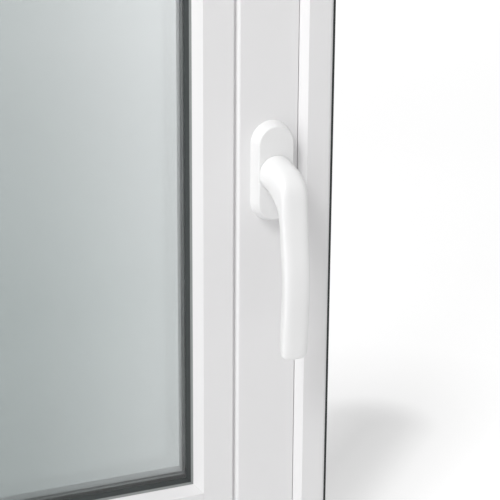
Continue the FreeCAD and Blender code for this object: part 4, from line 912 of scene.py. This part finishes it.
class SASH_OT_glazing(bpy.types.Operator):
    """Finish the double-glazed unit and its packers"""

    bl_idname = "sash.glazing"
    bl_label = "Finish Glazing"

    def execute(self, context):
        wear("float_glass", "pane_inner", "pane_outer")
        finish_nodes("spacer_metal", "spacer_frame")
        finish_nodes("sealant", "edge_sealant")
        finish_nodes("grey_plastic", "setting_blocks")
        return {"FINISHED"}


class SASH_OT_handle(bpy.types.Operator):
    """Build the lever and finish its rosette"""

    bl_idname = "sash.handle"
    bl_label = "Build Handle"

    def execute(self, context):
        finish_nodes("cover_plastic", "rosette_cover")
        finish_nodes("handle_paint", "handle_lever")
        finish_nodes("grey_plastic", "handle_base")
        build_lever(context.scene.sash_lever)
        return {"FINISHED"}


class SASH_OT_hardware(bpy.types.Operator):
    """Finish the hinges, the edge gear and the steel reinforcements"""

    bl_idname = "sash.hardware"
    bl_label = "Finish Hardware"

    def execute(self, context):
        finish_nodes("handle_paint", "hinge_leaf_lower", "hinge_leaf_upper")
        finish_nodes("pale_plastic", "hinge_bush_lower", "hinge_bush_upper")
        finish_nodes("zinc_plate", *STEELS)
        finish_nodes("zinc_casting", *CASTINGS)
        finish_nodes("bright_steel", *BRIGHT)
        return {"FINISHED"}


class SASH_OT_screws(bpy.types.Operator):
    """Build the screws of the hinges, the faceplate and the handle"""

    bl_idname = "sash.screws"
    bl_label = "Build Screws"

    def execute(self, context):
        sizes = context.scene.sash_fasteners
        build_screws("hinge_screw_set", "hinge_screws", "sash", (0, -1, 0), sizes.hinge_head,
                     sizes.hinge_shank, sizes.seed)
        build_screws("plate_screw_set", "faceplate_screws", "sash", (1, 0, 0), sizes.plate_head,
                     sizes.plate_shank, sizes.seed + 1)
        build_screws("handle_screw_set", "handle_screws", "sash", (0, -1, 0), sizes.handle_head,
                     sizes.handle_shank, sizes.seed + 2)
        return {"FINISHED"}


class SASH_OT_stage(bpy.types.Operator):
    """Build the studio: floor, lights, surround and camera"""

    bl_idname = "sash.stage"
    bl_label = "Build Stage"

    def execute(self, context):
        settings = context.scene.sash_stage
        build_floor(settings)
        build_surround(context.scene, settings)
        build_lights(settings)
        build_camera(context.scene, settings)
        context.scene.view_settings.view_transform = "Standard"
        return {"FINISHED"}


class SASH_PT_panel(bpy.types.Panel):
    """Window sash tools"""

    bl_label = "Window Sash"
    bl_idname = "SASH_PT_panel"
    bl_space_type = "VIEW_3D"
    bl_region_type = "UI"
    bl_category = "Window Sash"

    def draw(self, context):
        for operator in OPERATORS:
            self.layout.operator(operator.bl_idname)
        for label in SETTINGS:
            box = self.layout.box()
            settings = getattr(context.scene, label)
            for name in settings.bl_rna.properties.keys():
                if name not in ("rna_type", "name"):
                    box.prop(settings, name)


OPERATORS = (SASH_OT_finishes, SASH_OT_profiles, SASH_OT_seals, SASH_OT_glazing, SASH_OT_handle,
             SASH_OT_hardware, SASH_OT_screws, SASH_OT_stage)
SETTINGS = {"sash_finish": FinishSettings, "sash_lever": LeverSettings,
            "sash_fasteners": FastenerSettings, "sash_stage": StageSettings}
CLASSES = (*SETTINGS.values(), *OPERATORS, SASH_PT_panel)


def register():
    for item in CLASSES:
        bpy.utils.register_class(item)
    for label, kind in SETTINGS.items():
        setattr(bpy.types.Scene, label, bpy.props.PointerProperty(type=kind))


def unregister():
    for label in SETTINGS:
        delattr(bpy.types.Scene, label)
    for item in reversed(CLASSES):
        bpy.utils.unregister_class(item)


def main():
    register()
    for operator in OPERATORS:
        name = operator.bl_idname.split(".")[1]
        if getattr(bpy.ops.sash, name)() != {"FINISHED"}:
            raise RuntimeError(operator.bl_idname + " did not finish")


if __name__ == "__main__":
    main()
